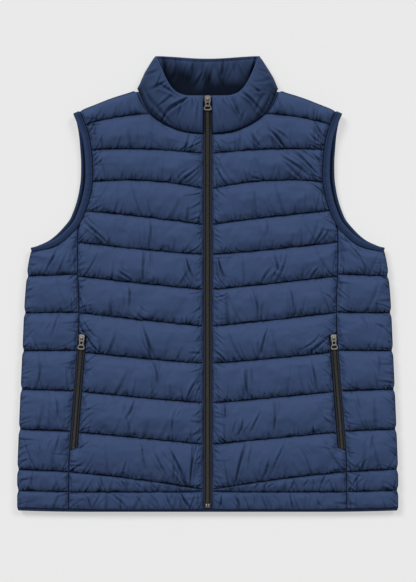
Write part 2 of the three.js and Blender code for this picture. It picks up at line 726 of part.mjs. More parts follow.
// Armhole binding: one band along the front edge, folded over at both ends and back along the back edge
function armholeBinding() {
  const middleZ = (BINDING_FRONT_Z + BINDING_BACK_Z) / 2;
  const turn = (BINDING_FRONT_Z - BINDING_BACK_Z) / 2;
  const ring = (centre, out, up, width) => BINDING_SECTION.map(([a, b]) => {
    const p = centre.clone().addScaledVector(out, a * width / 2).addScaledVector(up, b * BINDING_THICKNESS);
    return [p.x, p.y, p.z];
  });
  const up = new THREE.Vector3(0, 0, 1);
  const { from, to, steps } = BINDING_ENDS;
  const front = [];
  const back = [];
  for (let i = 0; i <= steps; i += 1) {
    const { point, out, tangent, band, show } = armholePoint(from + (to - from) * i / steps);
    const frontMiddle = point.clone().addScaledVector(out, band / 2 + 2 * GAP).setZ(BINDING_FRONT_Z);
    const backWidth = Math.min(BINDING_BACK_WIDTH, band + 1);
    const backMiddle = point.clone().addScaledVector(out, band + show - backWidth / 2).setZ(BINDING_BACK_Z);
    front.push({ centre: frontMiddle, out, tangent, width: band });
    back.push({ centre: backMiddle, out, tangent, width: backWidth });
  }
  const fold = (a, b, forward) => FOLD_DEGREES.map((degrees) => {
    const angle = THREE.MathUtils.degToRad(degrees);
    const share = degrees / 180;
    const centre = a.centre.clone().lerp(b.centre, share).setZ(middleZ + turn * Math.cos(angle));
    centre.addScaledVector(a.tangent, forward * turn * Math.sin(angle));
    const turned = up.clone().multiplyScalar(Math.cos(angle));
    turned.addScaledVector(a.tangent, forward * Math.sin(angle));
    return ring(centre, a.out, turned, THREE.MathUtils.lerp(a.width, b.width, share));
  });
  const down = up.clone().negate();
  const underarm = fold(front[steps], back[steps], 1);
  const shoulder = fold(front[0], back[0], -1);
  const rings = [
    ...front.map((s) => ring(s.centre, s.out, up, s.width)),
    ...underarm,
    ...back.map((s) => ring(s.centre, s.out, down, s.width)).reverse(),
    ...shoulder.reverse(),
  ];
  return loft(rings, true);
}

add('armhole_binding_left', armholeBinding(), BINDING);
add('armhole_binding_right', mirrored(armholeBinding()), BINDING);

// Straight strip along Y with a constant section, raised by a lift that depends on Y
function strip(section, stations, lift) {
  return loft(stations.map(({ y, from }) => section(from).map(([x, z]) => [x, y, z + lift(y)])));
}

const tapeSection = (to) => (from) => [
  [from, -TAPE.half],
  [from, TAPE.half],
  [to, TAPE.half],
  [to, -TAPE.half],
];
const coilSection = (to) => (from) => [
  [from, COIL.bottom],
  [from, COIL.top - COIL.edgeDrop],
  [from + COIL.edge, COIL.top],
  [to - COIL.edge, COIL.top],
  [to, COIL.top - COIL.edgeDrop],
  [to, COIL.bottom],
];

// Zip slider: roof and floor plates joined by a wedge, with a bridge that holds the pull
function sliderPlate(width, z, thickness) {
  const w = width / 2;
  const l = SLIDER.length / 2;
  const narrow = w - SLIDER.taper;
  const shape = new THREE.Shape();
  shape.moveTo(-w, l - SLIDER.shoulder).lineTo(-w + SLIDER.shoulder, l);
  shape.lineTo(w - SLIDER.shoulder, l).lineTo(w, l - SLIDER.shoulder);
  shape.lineTo(narrow, -l + SLIDER.foot).lineTo(narrow - SLIDER.foot, -l);
  shape.lineTo(-narrow + SLIDER.foot, -l).lineTo(-narrow, -l + SLIDER.foot);
  const plate = new THREE.ExtrudeGeometry(shape, { depth: thickness, bevelEnabled: false });
  return solid(plate.translate(0, 0, z));
}

function sliderBody(width) {
  const roof = sliderPlate(width, SLIDER.roof, SLIDER.top - SLIDER.roof);
  const floor = sliderPlate(width, SLIDER.bottom, SLIDER.floor - SLIDER.bottom);
  const between = SLIDER.roof - SLIDER.floor;
  const wedge = new THREE.CylinderGeometry(WEDGE.radius, WEDGE.radius, between + WEDGE.overlap, 12);
  wedge.rotateX(Math.PI / 2);
  wedge.translate(0, SLIDER.length / 2 - WEDGE.setback, (SLIDER.roof + SLIDER.floor) / 2);
  const arch = new THREE.Shape();
  arch.moveTo(-BRIDGE.outer, SLIDER.top - BRIDGE.sunk).lineTo(BRIDGE.outer, SLIDER.top - BRIDGE.sunk);
  arch.lineTo(BRIDGE.outer, SLIDER.pivot);
  arch.absarc(0, SLIDER.pivot, BRIDGE.outer, 0, Math.PI, false);
  const eye = new THREE.Path();
  eye.moveTo(-BRIDGE.inner, SLIDER.top).lineTo(BRIDGE.inner, SLIDER.top).lineTo(BRIDGE.inner, SLIDER.pivot);
  eye.absarc(0, SLIDER.pivot, BRIDGE.inner, 0, Math.PI, false);
  arch.holes.push(eye);
  const sides = { depth: BRIDGE.thickness, bevelEnabled: false, curveSegments: 6 };
  const bridge = new THREE.ExtrudeGeometry(arch, sides).translate(0, 0, -BRIDGE.thickness / 2);
  bridge.rotateX(Math.PI / 2).rotateZ(Math.PI / 2);
  return fromSolid(roof.add(floor).add(solid(wedge)).add(solid(bridge)));
}

function ovalHole(y, radiusX, radiusY, count = 12) {
  const points = Array.from({ length: count }, (unused, i) => {
    const angle = (2 * Math.PI * i) / count;
    return new THREE.Vector2(radiusX * Math.cos(angle), y + radiusY * Math.sin(angle));
  });
  return new THREE.Path(points);
}

// Pull tab with its pin at the origin, hanging towards -Y
function pullTab(length, width) {
  const w = width / 2;
  const foot = -length + PULL.corner;
  const inside = w - PULL.cornerWidth;
  const shape = new THREE.Shape();
  shape.moveTo(-PULL.neck, PULL.neckTop).lineTo(PULL.neck, PULL.neckTop);
  shape.lineTo(PULL.neck, PULL.neckFoot).lineTo(w, foot).quadraticCurveTo(w, -length, inside, -length);
  shape.lineTo(-inside, -length).quadraticCurveTo(-w, -length, -w, foot).lineTo(-PULL.neck, PULL.neckFoot);
  const slot = new THREE.Path();
  slot.moveTo(-PULL.slotHalf, PULL.slotTop).lineTo(-PULL.slotHalf, PULL.slotFoot);
  slot.lineTo(PULL.slotHalf, PULL.slotFoot).lineTo(PULL.slotHalf, PULL.slotTop);
  const round = ovalHole(-length * PULL.roundAt, PULL.roundRadius, PULL.roundRadius);
  const oval = ovalHole(-length + PULL.ovalUp, w - PULL.ovalMargin, PULL.ovalHalf);
  shape.holes.push(slot, round, oval);
  const sides = { depth: PULL.thickness, bevelEnabled: false, curveSegments: 6 };
  const tab = new THREE.ExtrudeGeometry(shape, sides);
  return tab.translate(0, 0, -PULL.thickness / 2).rotateX(PULL.tilt);
}

// One zip in its own frame: tapes that part at the slider's wedge, coils below it, slider and pull
function zip({ prefix, size, bottom, coilBottom, bends, top, lift, slider, parent }) {
  const closed = GAP / 2;
  const level = (y, from) => ({ y, from });
  const together = bends.map((y) => level(y, closed));
  const tapeStations = [
    level(bottom, closed),
    ...together,
    level(slider.y + TAPE.openAt, closed),
    level(slider.y + TAPE.apart, TAPE.openFrom),
    level(top, TAPE.openFrom),
  ];
  const coilStations = [level(coilBottom, closed), ...together, level(slider.y + COIL.end, closed)];
  [['left', 1], ['right', -1]].forEach(([name, sign]) => {
    const tape = strip(tapeSection(size.width / 2), tapeStations, lift);
    const coil = strip(coilSection(size.chain / 2), coilStations, lift);
    add(`${prefix}_tape_${name}`, sign > 0 ? tape : mirrored(tape), TAPE_CLOTH, parent);
    add(`${prefix}_coil_${name}`, sign > 0 ? coil : mirrored(coil), COIL_NYLON, parent);
  });
  const carriage = new THREE.Group();
  carriage.position.set(0, slider.y, slider.z);
  carriage.rotation.x = slider.tilt;
  parent.add(carriage);
  add(`${prefix}_slider`, sliderBody(size.sliderWidth), METAL, carriage);
  const hinge = new THREE.Group();
  hinge.position.z = SLIDER.pivot;
  carriage.add(hinge);
  add(`${prefix}_pull`, pullTab(size.pull, size.pullWidth), METAL, hinge);
}

// Main zip, which climbs with the collar
const collarSlope = Math.atan(COLLAR_LIFT / COLLAR_HEIGHT);
const mainLift = (y) => COLLAR_LIFT * Math.max(y - NECK_FRONT, 0) / COLLAR_HEIGHT;
const mainGroup = new THREE.Group();
mainGroup.position.z = TAPE_LEVEL;
vest.add(mainGroup);
zip({
  prefix: 'main_zip',
  size: MAIN_ZIP,
  bottom: FRONT_HEM + MAIN_ZIP.tapeStart,
  coilBottom: FRONT_HEM + MAIN_ZIP.coilStart,
  bends: [NECK_FRONT],
  top: MAIN_ZIP.top,
  lift: mainLift,
  slider: { y: MAIN_ZIP.sliderY, z: mainLift(MAIN_ZIP.sliderY), tilt: collarSlope },
  parent: mainGroup,
});
const box = new THREE.BoxGeometry(ZIP_BOX.width, ZIP_BOX.length, ZIP_BOX.height);
box.translate(0, FRONT_HEM + ZIP_BOX.up, TAPE.half + GAP + ZIP_BOX.height / 2);
add('main_zip_box', box, METAL, mainGroup);

// Pocket zips, leaning out towards the hem
[['left', 1], ['right', -1]].forEach(([name, sign]) => {
  const group = new THREE.Group();
  group.position.set(sign * pocketMiddle.x, pocketMiddle.y, TAPE_LEVEL);
  group.rotation.z = sign * pocketAngle;
  vest.add(group);
  zip({
    prefix: `pocket_zip_${name}`,
    size: POCKET_ZIP,
    bottom: -pocketLength / 2,
    coilBottom: -pocketLength / 2 + POCKET_ZIP.coilStart,
    bends: [],
    top: pocketLength / 2,
    lift: () => 0,
    slider: { y: pocketLength / 2 - POCKET_ZIP.sliderDrop, z: 0, tilt: 0 },
    parent: group,
  });
});

export default vest;
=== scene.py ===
# %% [markdown]
# A quilted puffer vest, zipped up and laid flat
# The vest lies on its back on a pale surface and is seen from straight above. Its construction is already
# a set of plain solids at real size. This lesson dresses them: padded panels that are blown up as cloth
# between their sewn lines, creases pressed in, bindings, woven zip tapes with real teeth, and small
# metal parts. X runs towards the wearer's left, Y from the hem to the neck, and Z up. Tables are in
# millimetres.

# %% Load the frame
import math

import bmesh
import bpy
import numpy as np
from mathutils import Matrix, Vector


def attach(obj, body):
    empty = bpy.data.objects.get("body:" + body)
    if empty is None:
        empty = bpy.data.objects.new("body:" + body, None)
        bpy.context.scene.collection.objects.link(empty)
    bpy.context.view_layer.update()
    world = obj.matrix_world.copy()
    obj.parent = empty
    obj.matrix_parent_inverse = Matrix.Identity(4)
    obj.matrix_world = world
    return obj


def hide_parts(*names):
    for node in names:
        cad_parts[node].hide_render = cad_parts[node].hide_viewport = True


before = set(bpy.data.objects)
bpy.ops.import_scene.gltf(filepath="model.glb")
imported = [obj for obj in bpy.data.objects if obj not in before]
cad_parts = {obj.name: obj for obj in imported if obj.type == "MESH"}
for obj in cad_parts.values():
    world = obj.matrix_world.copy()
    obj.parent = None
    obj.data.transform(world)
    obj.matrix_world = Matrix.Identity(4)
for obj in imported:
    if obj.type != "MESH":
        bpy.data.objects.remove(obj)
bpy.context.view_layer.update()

MM = 0.001
SIDES = (("left", 1), ("right", -1))
scene = bpy.context.scene


def new_object(name, data):
    """An object in the scene for a mesh, a curve, a light or a camera."""
    made = bpy.data.objects.new(name, data)
    scene.collection.objects.link(made)
    return made


# %% [markdown]
# Camera
# The picture looks straight down. A long lens from a little over three metres keeps the sides of the padding
# hidden, as a product photographer would. The frame is 416 by 582 picture points, and one point covers
# 1.55 mm at the height of the side seams, so the lens follows from the distance.

# %% Camera
PICTURE_MM = 1.55
PICTURE_TALL = 582
CAMERA_DISTANCE = 3.2
SEAM_HEIGHT = 0.014
SENSOR_MM = 36
LOOKS_AT = (0.3, -7)
camera_data = bpy.data.cameras.new("camera")
camera_data.sensor_width = SENSOR_MM
camera_data.lens = SENSOR_MM * CAMERA_DISTANCE / (PICTURE_TALL * PICTURE_MM * MM)
camera_data.clip_end = 20
camera = new_object("camera", camera_data)
camera.location = (*[v * PICTURE_MM * MM for v in LOOKS_AT], SEAM_HEIGHT + CAMERA_DISTANCE)
scene.camera = camera
print("lens", round(camera_data.lens, 1), "mm")

# %% [markdown]
# The cut of the vest
# These tables hold the pattern: where the edges run and where the quilting lines are sewn. Each is a short
# list of measured places, and a smooth curve is drawn through them.

# %% Pattern tables
BACK_THICKNESS = 12.0
SEAM_GAP = 0.3
INSIDE = BACK_THICKNESS + SEAM_GAP
SEAM_THICKNESS = 3.0
EDGE_THICKNESS = 2.0
CROWN = 10.5
FULL_BAFFLE = 22.0
ZIP_HALF = 7.05
FLAT_STRIP = 3.0
FRONT_HEM = -349.8
BACK_HEM = -353.4
NECK_FRONT = 232.8
SIDE_PANEL_TOP = 85.0

SIDE = {
    "y": (56, 38, 18.6, -27.9, -93, -176.7, -251.1, -297.6, -354),
    "x": (272.4, 276.8, 279.8, 283.7, 286.8, 290.6, 293.7, 295.3, 295.3),
}
ARMHOLE = {
    "x": (199.6, 193.4, 185.2, 181.1, 179.2, 178.6, 180.7, 184.3, 189.9, 199, 210.6, 225.1, 242, 263.5,
          273.4),
    "y": (268.5, 255, 232.5, 210.8, 189.1, 162.8, 145.7, 130.2, 113.2, 93, 79, 65.9, 57, 52.2, 50.4),
    "band": (9.6, 10, 10, 10, 10, 10.4, 10.4, 10.2, 9.8, 9.6, 9.4, 9, 8, 6, 5),
    "show": (0.5, 1, 5, 7, 7.6, 8.2, 8.2, 7.8, 7.6, 7.2, 6.6, 5.6, 3.6, 1, 0.5),
}
SHOULDER = {"x": (111, 148, 172, 199), "y": (299.8, 288.3, 279, 268.4)}
NECKLINE = {
    "x": (0, 19.4, 37.2, 51.9, 67.1, 81.5, 91.8, 100.3, 105.9, 111),
    "y": (232.8, 233.7, 236.4, 241, 248, 257.3, 266.6, 277.5, 288.3, 299.8),
}
PANEL_SEAM = {
    "y": (90, 45, 11, -25, -67, -79, -168, -256, -300, -354),
    "x": (201.5, 202.4, 201.6, 200, 200, 200.6, 207.4, 214.3, 215.6, 216),
}
LINE_X = (8.0, 103.0, 198.0)
FRONT_LINES = (
    (256, 263.5, 244.5), (202.5, 209.4, 207.4), (148.4, 161, 156.2), (92.5, 104.8, 114.5),
    (46, 54.3, 64.9), (-8.1, 1.5, 12.3), (-65.1, -55.1, -44.2), (-122.4, -114.7, -104.6),
    (-183.8, -175.6, -166.1), (-247.9, -238.5, -229.7), (-317.8, -303.2, -292.3), (-321.2, -321.8, -321.6),
)
SIDE_LINE_X = (205.0, 287.0)
SIDE_LINES = (
    (15.5, 12.4), (-43.6, -44.4), (-102.5, -103.1), (-165.5, -162.8), (-228.2, -224.8), (-291, -287.1),
    (-321.6, -319.3),
)
POCKET = {"top": (194.5, -78.0), "bottom": (208.3, -255.8), "width": 11.2}


def through(table, source, target):
    """A smooth function through a table's places, from one column to another."""
    order = np.argsort(table[source])
    a = np.array(table[source], float)[order]
    b = np.array(table[target], float)[order]
    slope = np.empty_like(b)
    slope[1:-1] = (b[2:] - b[:-2]) / (a[2:] - a[:-2])
    slope[0] = (b[1] - b[0]) / (a[1] - a[0])
    slope[-1] = (b[-1] - b[-2]) / (a[-1] - a[-2])

    def curve(value):
        value = np.clip(value, a[0], a[-1])
        i = np.clip(np.searchsorted(a, value, side="right") - 1, 0, len(a) - 2)
        span = a[i + 1] - a[i]
        t = (value - a[i]) / span
        start = b[i] * (2 * t**3 - 3 * t**2 + 1) + slope[i] * span * (t**3 - 2 * t**2 + t)
        return start + b[i + 1] * (3 * t**2 - 2 * t**3) + slope[i + 1] * span * (t**3 - t**2)

    return curve


def part_of(table, keep):
    """The rows of a table where keep is true."""
    return {name: [v for v, k in zip(column, keep) if k] for name, column in table.items()}


def parabola(heights):
    """A quilting line of a front panel as a height over x."""
    curve = np.polyfit(LINE_X, heights, 2)
    return lambda x: np.polyval(curve, x)


def straight(heights):
    """A quilting line of a side panel as a height over x."""
    low, high = SIDE_LINE_X
    return lambda x: heights[0] + (heights[1] - heights[0]) * (x - low) / (high - low)


side_x = through(SIDE, "y", "x")
seam_x = through(PANEL_SEAM, "y", "x")
armhole_x = through(part_of(ARMHOLE, [y > SIDE_PANEL_TOP for y in ARMHOLE["y"]]), "y", "x")
armhole_y = through(part_of(ARMHOLE, [y < 120 for y in ARMHOLE["y"]]), "x", "y")
shoulder_y = through(SHOULDER, "x", "y")
neckline_y = through(NECKLINE, "x", "y")
front_line_y = [parabola(row) for row in FRONT_LINES]
side_line_y = [straight(row) for row in SIDE_LINES]


def top_y(x):
    """Upper edge of a front panel: the neck seam, then the shoulder."""
    tip = 2.4 * np.clip((x - 189) / 10.6, 0, 1) ** 2
    return np.where(x < SHOULDER["x"][0], neckline_y(x), shoulder_y(x) - tip)


def nicked_side(y):
    """Side edge with the small nick that each quilting line pulls into it."""
    return side_x(y) - sum(2 * np.exp(-(((y - row[1]) / 5) ** 2)) for row in SIDE_LINES)


def front_hem(x):
    return FRONT_HEM + np.where(x > 160, 1.5 * ((x - 160) / 60) ** 2, 0)


def side_hem(x):
    return FRONT_HEM + 1.5 + np.where(x > 220, 1.8 * ((x - 220) / 75) ** 2, 0)


print("quilting lines on a front panel:", len(FRONT_LINES), "on a side panel:", len(SIDE_LINES))

# %% [markdown]
# Soft noise
# Wrinkles never repeat, but a lesson has to give the same vest each time. This noise is worked out from the
# cell's own numbers, so it needs no random generator.

# %% Noise


def soft_noise(x, y, seed):
    """Smooth noise between -1 and 1 that changes over a distance of about one."""
    cell_x, cell_y = np.floor(x), np.floor(y)
    u, v = x - cell_x, y - cell_y
    u, v = u * u * (3 - 2 * u), v * v * (3 - 2 * v)

    def corner(dx, dy):
        value = np.sin((cell_x + dx) * 127.1 + (cell_y + dy) * 311.7 + seed * 74.7) * 43758.5453
        return 2 * (value - np.floor(value)) - 1

    lower = corner(0, 0) * (1 - u) + corner(1, 0) * u
    upper = corner(0, 1) * (1 - u) + corner(1, 1) * u
    return lower * (1 - v) + upper * v


def rounded(distance, radius):
    """How full the padding is at a distance from a sewn edge, from 0 to 1."""
    return np.sqrt(1 - (1 - np.clip(distance / radius, 0, 1)) ** 2)


# %% [markdown]
# Creases
# The largest creases are listed one by one: each row has the crease's two ends, the depth of its trough and
# its half width. A soft ridge lies along one flank, because the cloth that leaves the trough has to go
# somewhere. The tables are for the wearer's left and right front; positive depth presses in.

# %% Crease tables
CREASES_LEFT = (
    (98.3, 235.6, 123.1, 207.7, 4.2, 3.2), (107.6, 223, 127.7, 208, 2.4, 2.6),
    (68.8, 232.5, 81, 214, 2.2, 3), (116.9, 198.4, 152.5, 169, 2.8, 3.4),
    (131, 204.6, 168, 173.6, 2.6, 3.2), (163.4, 252.7, 182, 224.8, 2, 2.8),
    (158.7, 232.5, 179, 214, 1.8, 2.8), (161.8, 203, 175.8, 183, 1.8, 2.8),
    (12, 215.5, 25.4, 201.5, 2, 2.6), (13, 178.3, 33.2, 152, 2.4, 2.8),
    (68.8, 167.4, 81.2, 161.2, 1.6, 2.6), (90.5, 102.3, 92, 76, 1.8, 3), (179, 86.8, 168, 63.6, 2, 3),
    (171, 24.8, 158.7, 6.2, 2, 3), (106, 45, 107.6, 15, 2.8, 3.4), (121.5, 45, 108, 3.1, 2.2, 3),
    (96.7, 24.8, 84.3, 3.1, 2, 3), (17.7, 40.3, 25.4, 6.2, 2.2, 2.8), (71.9, -6.2, 76.6, -48, 2.6, 3.4),
    (124.6, -3.1, 137, -48, 2, 3), (11.5, -21.7, 28.5, -15.5, 1.8, 2.4),
    (93.6, -71.3, 78.1, -113, 2.4, 3.2), (9.9, -105.4, 31.6, -121, 2, 2.6),
    (186.6, -79, 161.8, -105.4, 3, 3.2), (59.5, -130, 62.6, -176.7, 2.6, 3.4),
    (163.4, -121, 166.5, -161.2, 1.8, 3), (102.9, -179.8, 102.9, -229.4, 2.4, 3.4),
    (79.7, -198.4, 68.8, -229.4, 2, 3), (61, -246.5, 40.9, -308.5, 3, 3.4),
    (96.7, -269.7, 84.3, -300.7, 2.2, 3), (143.2, -257.3, 161.8, -291.4, 1.8, 3.2),
    (126.2, -324, 133.9, -347, 3.2, 2.8), (90.5, -324, 96.7, -348, 2, 2.4),
    (40.9, -327, 50.2, -347, 2, 2.4), (68.8, -324, 75, -342.5, 1.6, 2.2),
    (168, -330, 178.9, -348, 1.8, 2.4), (223.8, 60.5, 236.2, 37.2, 2, 3),
    (236.2, 37.2, 245.5, 18.6, 1.8, 3), (234.7, -293, 226.9, -311.6, 1.8, 2.6),
    (247, -269.7, 237.8, -288.3, 1.6, 2.6), (238, -45, 246, -72, 1.4, 3), (262, -105, 268, -140, 1.4, 3.2),
    (231, -170, 238, -196, 1.5, 3), (258, -232, 252, -258, 1.4, 3), (43, -308.5, 38.5, -318.4, 2.4, 2.2),
    (78.4, -305, 74, -317.3, 2.6, 2.2), (96.1, -303, 86.2, -319, 2.8, 2.4),
    (109.4, -302, 102.8, -317.3, 2, 2.2), (133.8, -302, 127.2, -317.3, 2.8, 2.4),
    (156, -299, 149, -316, 2, 2.2), (184, -296, 173, -317, 2.4, 2.4), (23, -328, 17, -346, 2, 2.4),
    (148, -324, 152, -345, 2, 2.4), (118, -246, 99, -296, 2, 3), (30, -176, 26, -206, 1.8, 2.8),
    (56, -209, 47, -232, 2, 2.8),
)
CREASES_RIGHT = (
    (-39.7, 156.6, -16.4, 179.8, 2.8, 3), (-41.2, 207.7, -30.3, 220, 1.8, 2.6),
    (-185.2, 234, -171.2, 251, 2, 2.8), (-180.6, 179.8, -166.6, 198.4, 2, 2.8),
    (-171.2, 255.8, -165, 269.7, 1.8, 2.6), (-146.5, 262, -140.3, 274.4, 1.6, 2.4),
    (-191.4, 97.7, -157.3, 63.6, 2.2, 3), (-89.3, 102.3, -89.3, 55.8, 2, 3.2),
    (-98.6, 55.8, -98.6, 1.6, 2.4, 3.4), (-31.9, 40.3, -22.5, 6.2, 2.2, 2.8),
    (-135.8, 20.2, -115.6, 1.6, 2.2, 3), (-123.4, 0, -118.7, -40.3, 2.2, 3.2),
    (-112.5, -43.4, -92.4, -55.8, 2, 2.8), (-200.9, -1.6, -194.7, -40.3, 2, 2.8),
    (-225.7, 71.3, -250.5, 21.7, 2.2, 3.2), (-249, 62, -275.3, 43.4, 1.8, 2.8),
    (-199.3, -62, -171.4, -102.3, 4, 3.4), (-100, -58.9, -86.2, -114.7, 2.4, 3.2),
    (-84.6, -117.8, -76.9, -151.9, 2.6, 3.2), (-84.6, -161.2, -86.2, -176.7, 2, 2.8),
    (-14.9, -148.8, -35, -179.8, 2.2, 2.8), (-111, -179.8, -126.5, -207.7, 2.4, 3.2),
    (-126.5, -207.7, -118.7, -235.6, 2.2, 3), (-126.5, -272.8, -131.1, -300.7, 2, 3),
    (-81.5, -257.3, -66, -296, 2.2, 3), (-56.7, -257.3, -35, -308.5, 3, 3.4),
    (-24.2, -241.8, -25.7, -311.6, 2.4, 3), (-42.8, -321, -25.7, -348, 3.4, 2.8),
    (-146.6, -324, -126.5, -347, 2.4, 2.6), (-92.4, -324, -73.8, -347, 2, 2.4),
    (-168, -326, -175, -346, 1.6, 2.4), (-228, -45, -240, -80, 1.4, 3), (-258, -110, -262, -150, 1.4, 3.2),
    (-236, -176, -230, -205, 1.6, 3), (-262, -238, -254, -268, 1.4, 3), (-226, -232, -236, -260, 1.5, 3),
    (-47, -308, -40, -319, 2.4, 2.2), (-66, -306, -58, -318, 2.4, 2.2), (-88, -304, -78, -319, 2.8, 2.4),
    (-113, -302, -104, -318, 2.2, 2.2), (-139, -300, -127, -317, 2.6, 2.4),
    (-170, -297, -158, -317, 2, 2.4), (-64, -325, -55, -347, 2.6, 2.4), (-110, -325, -102, -345, 2, 2.2),
    (-190, -326, -180, -347, 2, 2.4), (-104, -246, -94, -290, 2, 3), (-48, -196, -58, -228, 1.8, 2.8),
)


def with_companions(creases):
    """Every crease, with a shorter and weaker one that runs beside it."""
    made = list(creases)
    for n, (x0, y0, x1, y1, depth, half) in enumerate(creases):
        dx, dy = x1 - x0, y1 - y0
        length = math.hypot(dx, dy)
        aside = (6.5 + 1.5 * (n % 3)) * (-1) ** n
        ox, oy = -dy / length * aside, dx / length * aside
        start, end = (0.35, 1.05) if n % 2 else (-0.05, 0.6)
        lean = 0.12 * (-1) ** (n // 2) * length
        first = (x0 + start * dx + ox, y0 + start * dy + oy)
        last = (x0 + end * dx + ox + lean, y0 + end * dy + oy)
        made.append((*first, *last, 0.5 * depth, 0.9 * half))
    return made


def crease_depth(x, y, creases, strength=1.0, wander=1.6):
    """How far a list of creases presses points down; negative on their ridges."""
    total = np.zeros_like(x)
    for n, (x0, y0, x1, y1, depth, half) in enumerate(creases):
        dx, dy = x1 - x0, y1 - y0
        length = math.hypot(dx, dy)
        along = ((x - x0) * dx + (y - y0) * dy) / length**2
        across = ((x - x0) * dy - (y - y0) * dx) / length
        near = (along > -0.3) & (along < 1.3) & (np.abs(across) < 6 * half)
        a = along[near]
        s = across[near] + wander * np.sin(a * 3.4 + 1.7 * n)
        sharp = np.clip(a if n % 2 else 1 - a, 0, 1)
        wide = half * (0.33 + 0.3 * sharp)
        taper = np.clip(1.3 - np.abs(a - 0.5) * 2, 0, 1) ** 0.8 * (1 - 0.35 * sharp)
        ridges = 0.7 * np.exp(-(((s - 2.2 * wide) / (1.5 * wide)) ** 2))
        ridges += 0.35 * np.exp(-(((s + 2.2 * wide) / (1.5 * wide)) ** 2))
        total[near] += strength * depth * taper * (np.exp(-((s / wide) ** 2)) - ridges)
    return total


CREASES = with_companions(CREASES_LEFT + CREASES_RIGHT)
print("creases placed by hand:", len(CREASES_LEFT + CREASES_RIGHT))

# %% [markdown]
# From a pattern to a grid
# A panel is a grid whose rows follow its quilting lines, so every sewn line is a row of points that can be
# pinned. Rows crowd towards the lines, where the cloth bends most. Where a baffle has no height, under the
# neck seam, its rows fall together and are merged when the mesh is made.

# %% Panel grids
FINER = 3
ROW_STEP = 3.3
PLACING_PASSES = 14


def crowded(count, strength=0.12):
    """Shares from 0 to just under 1, closer together near both ends."""
    t = np.arange(count) / count
    return t - strength * np.sin(2 * np.pi * t)


def mixed_columns(count, strength=0.1):
    t = np.linspace(0, 1, count)
    return t - strength * np.sin(2 * np.pi * t)


def panel_grid(lines, top, inner, outer, columns, row_step):
    """Places of a panel's points, with each point's share of its baffle and the baffle's height."""
    rows = []
    middle = np.array([[float(inner(0.0) + outer(0.0)) / 2]])
    for k in range(len(lines) - 1):
        height = float((lines[k](middle) - lines[k + 1](middle))[0, 0])
        shares = crowded(max(6, round(height / row_step)))
        if k == len(lines) - 2:
            shares = np.append(shares, 1.0)
        share = shares[:, None] * np.ones((1, len(columns)))
        y = lines[k](middle) + (lines[k + 1](middle) - lines[k](middle)) * share
        for _ in range(PLACING_PASSES):
            x = inner(y) + (outer(y) - inner(y)) * columns[None, :]
            high = np.minimum(lines[k](x), top(x))
            low = np.minimum(lines[k + 1](x), top(x))
            y = high + (low - high) * share
        rows.append(np.stack([x, y, share + k, high - low], axis=-1))
    return np.concatenate(rows)


def baffle_profile(share):
    """Section of a baffle from its upper line down: a short rise, a flat top and a long round fall."""
    share = np.clip(share, 0, 1)
    rise = np.sqrt(1 - (1 - np.clip(share / 0.26, 0, 1)) ** 2)
    fall = np.sqrt(1 - np.clip((share - 0.2) / 0.8, 0, 1) ** 2.7)
    return rise * fall


def padded_height(grid, edges):
    """Height of the padded top over the grid, before the cloth is blown up."""
    share, depth = grid[..., 2] % 1, grid[..., 3]
    crown = CROWN * (1 - np.exp(-depth / FULL_BAFFLE))
    held = np.minimum.reduce([rounded(distance, radius) for distance, radius in edges])
    thickness = EDGE_THICKNESS + (SEAM_THICKNESS - EDGE_THICKNESS) * held
    return INSIDE + thickness + crown * baffle_profile(share) * held


POCKET_MIDDLE = (np.array(POCKET["top"]) + np.array(POCKET["bottom"])) / 2
POCKET_SPAN = np.array(POCKET["top"]) - np.array(POCKET["bottom"])
POCKET_LENGTH = float(np.hypot(*POCKET_SPAN))
POCKET_TURN = math.atan2(-POCKET_SPAN[0], POCKET_SPAN[1])


def pocket_distance(x, y):
    """Distances across and along the slot that the pocket zip is set in."""
    dx, dy = x - POCKET_MIDDLE[0], y - POCKET_MIDDLE[1]
    across = dx * math.cos(POCKET_TURN) + dy * math.sin(POCKET_TURN)
    return across, dy * math.cos(POCKET_TURN) - dx * math.sin(POCKET_TURN)


def from_pocket(x, y):
    across, along = pocket_distance(x, y)
    beside = np.clip(np.abs(across) - POCKET["width"] / 2, 0, None)
    return np.hypot(beside, np.clip(np.abs(along) - POCKET_LENGTH / 2, 0, None))


def round_slot(plain, y, side):
    """A panel's edge, led round one side of the pocket zip."""
    across, along = pocket_distance(plain, y)
    slot_edge = plain - across + side * POCKET["width"] / 2 + side * SEAM_GAP
    inside_slot = np.clip((POCKET_LENGTH / 2 + 1.5 - np.abs(along)) / 3, 0, 1)
    return plain + side * np.maximum(side * (slot_edge - plain), 0) * inside_slot


def front_inner(y):
    return np.full_like(np.asarray(y, float), ZIP_HALF)


def front_outer(y):
    """Outer edge of a front panel: armhole, seam, and the near side of the pocket zip."""
    return round_slot(np.where(y > SIDE_PANEL_TOP + 2, armhole_x(y), seam_x(y)) - SEAM_GAP / 2, y, -1)


def side_inner(y):
    """Inner edge of a side panel: the seam, or the far side of the pocket zip."""
    return round_slot(seam_x(y) + SEAM_GAP / 2, y, 1)


front_grid = panel_grid(
    [top_y, *front_line_y, front_hem], top_y, front_inner, front_outer, mixed_columns(57), ROW_STEP,
)
side_grid = panel_grid(
    [armhole_y, *side_line_y, side_hem], armhole_y, side_inner, nicked_side, mixed_columns(27), ROW_STEP,
)
print("front panel grid", front_grid.shape[:2], "side panel grid", side_grid.shape[:2])

# %% [markdown]
# Meshes from grids
# A grid can be made finer by a smooth curve through its points, which keeps the sewn rows exactly where they
# are. The same helpers open a mesh for editing and put it back with its faces turned outwards.

# %% Grids to meshes


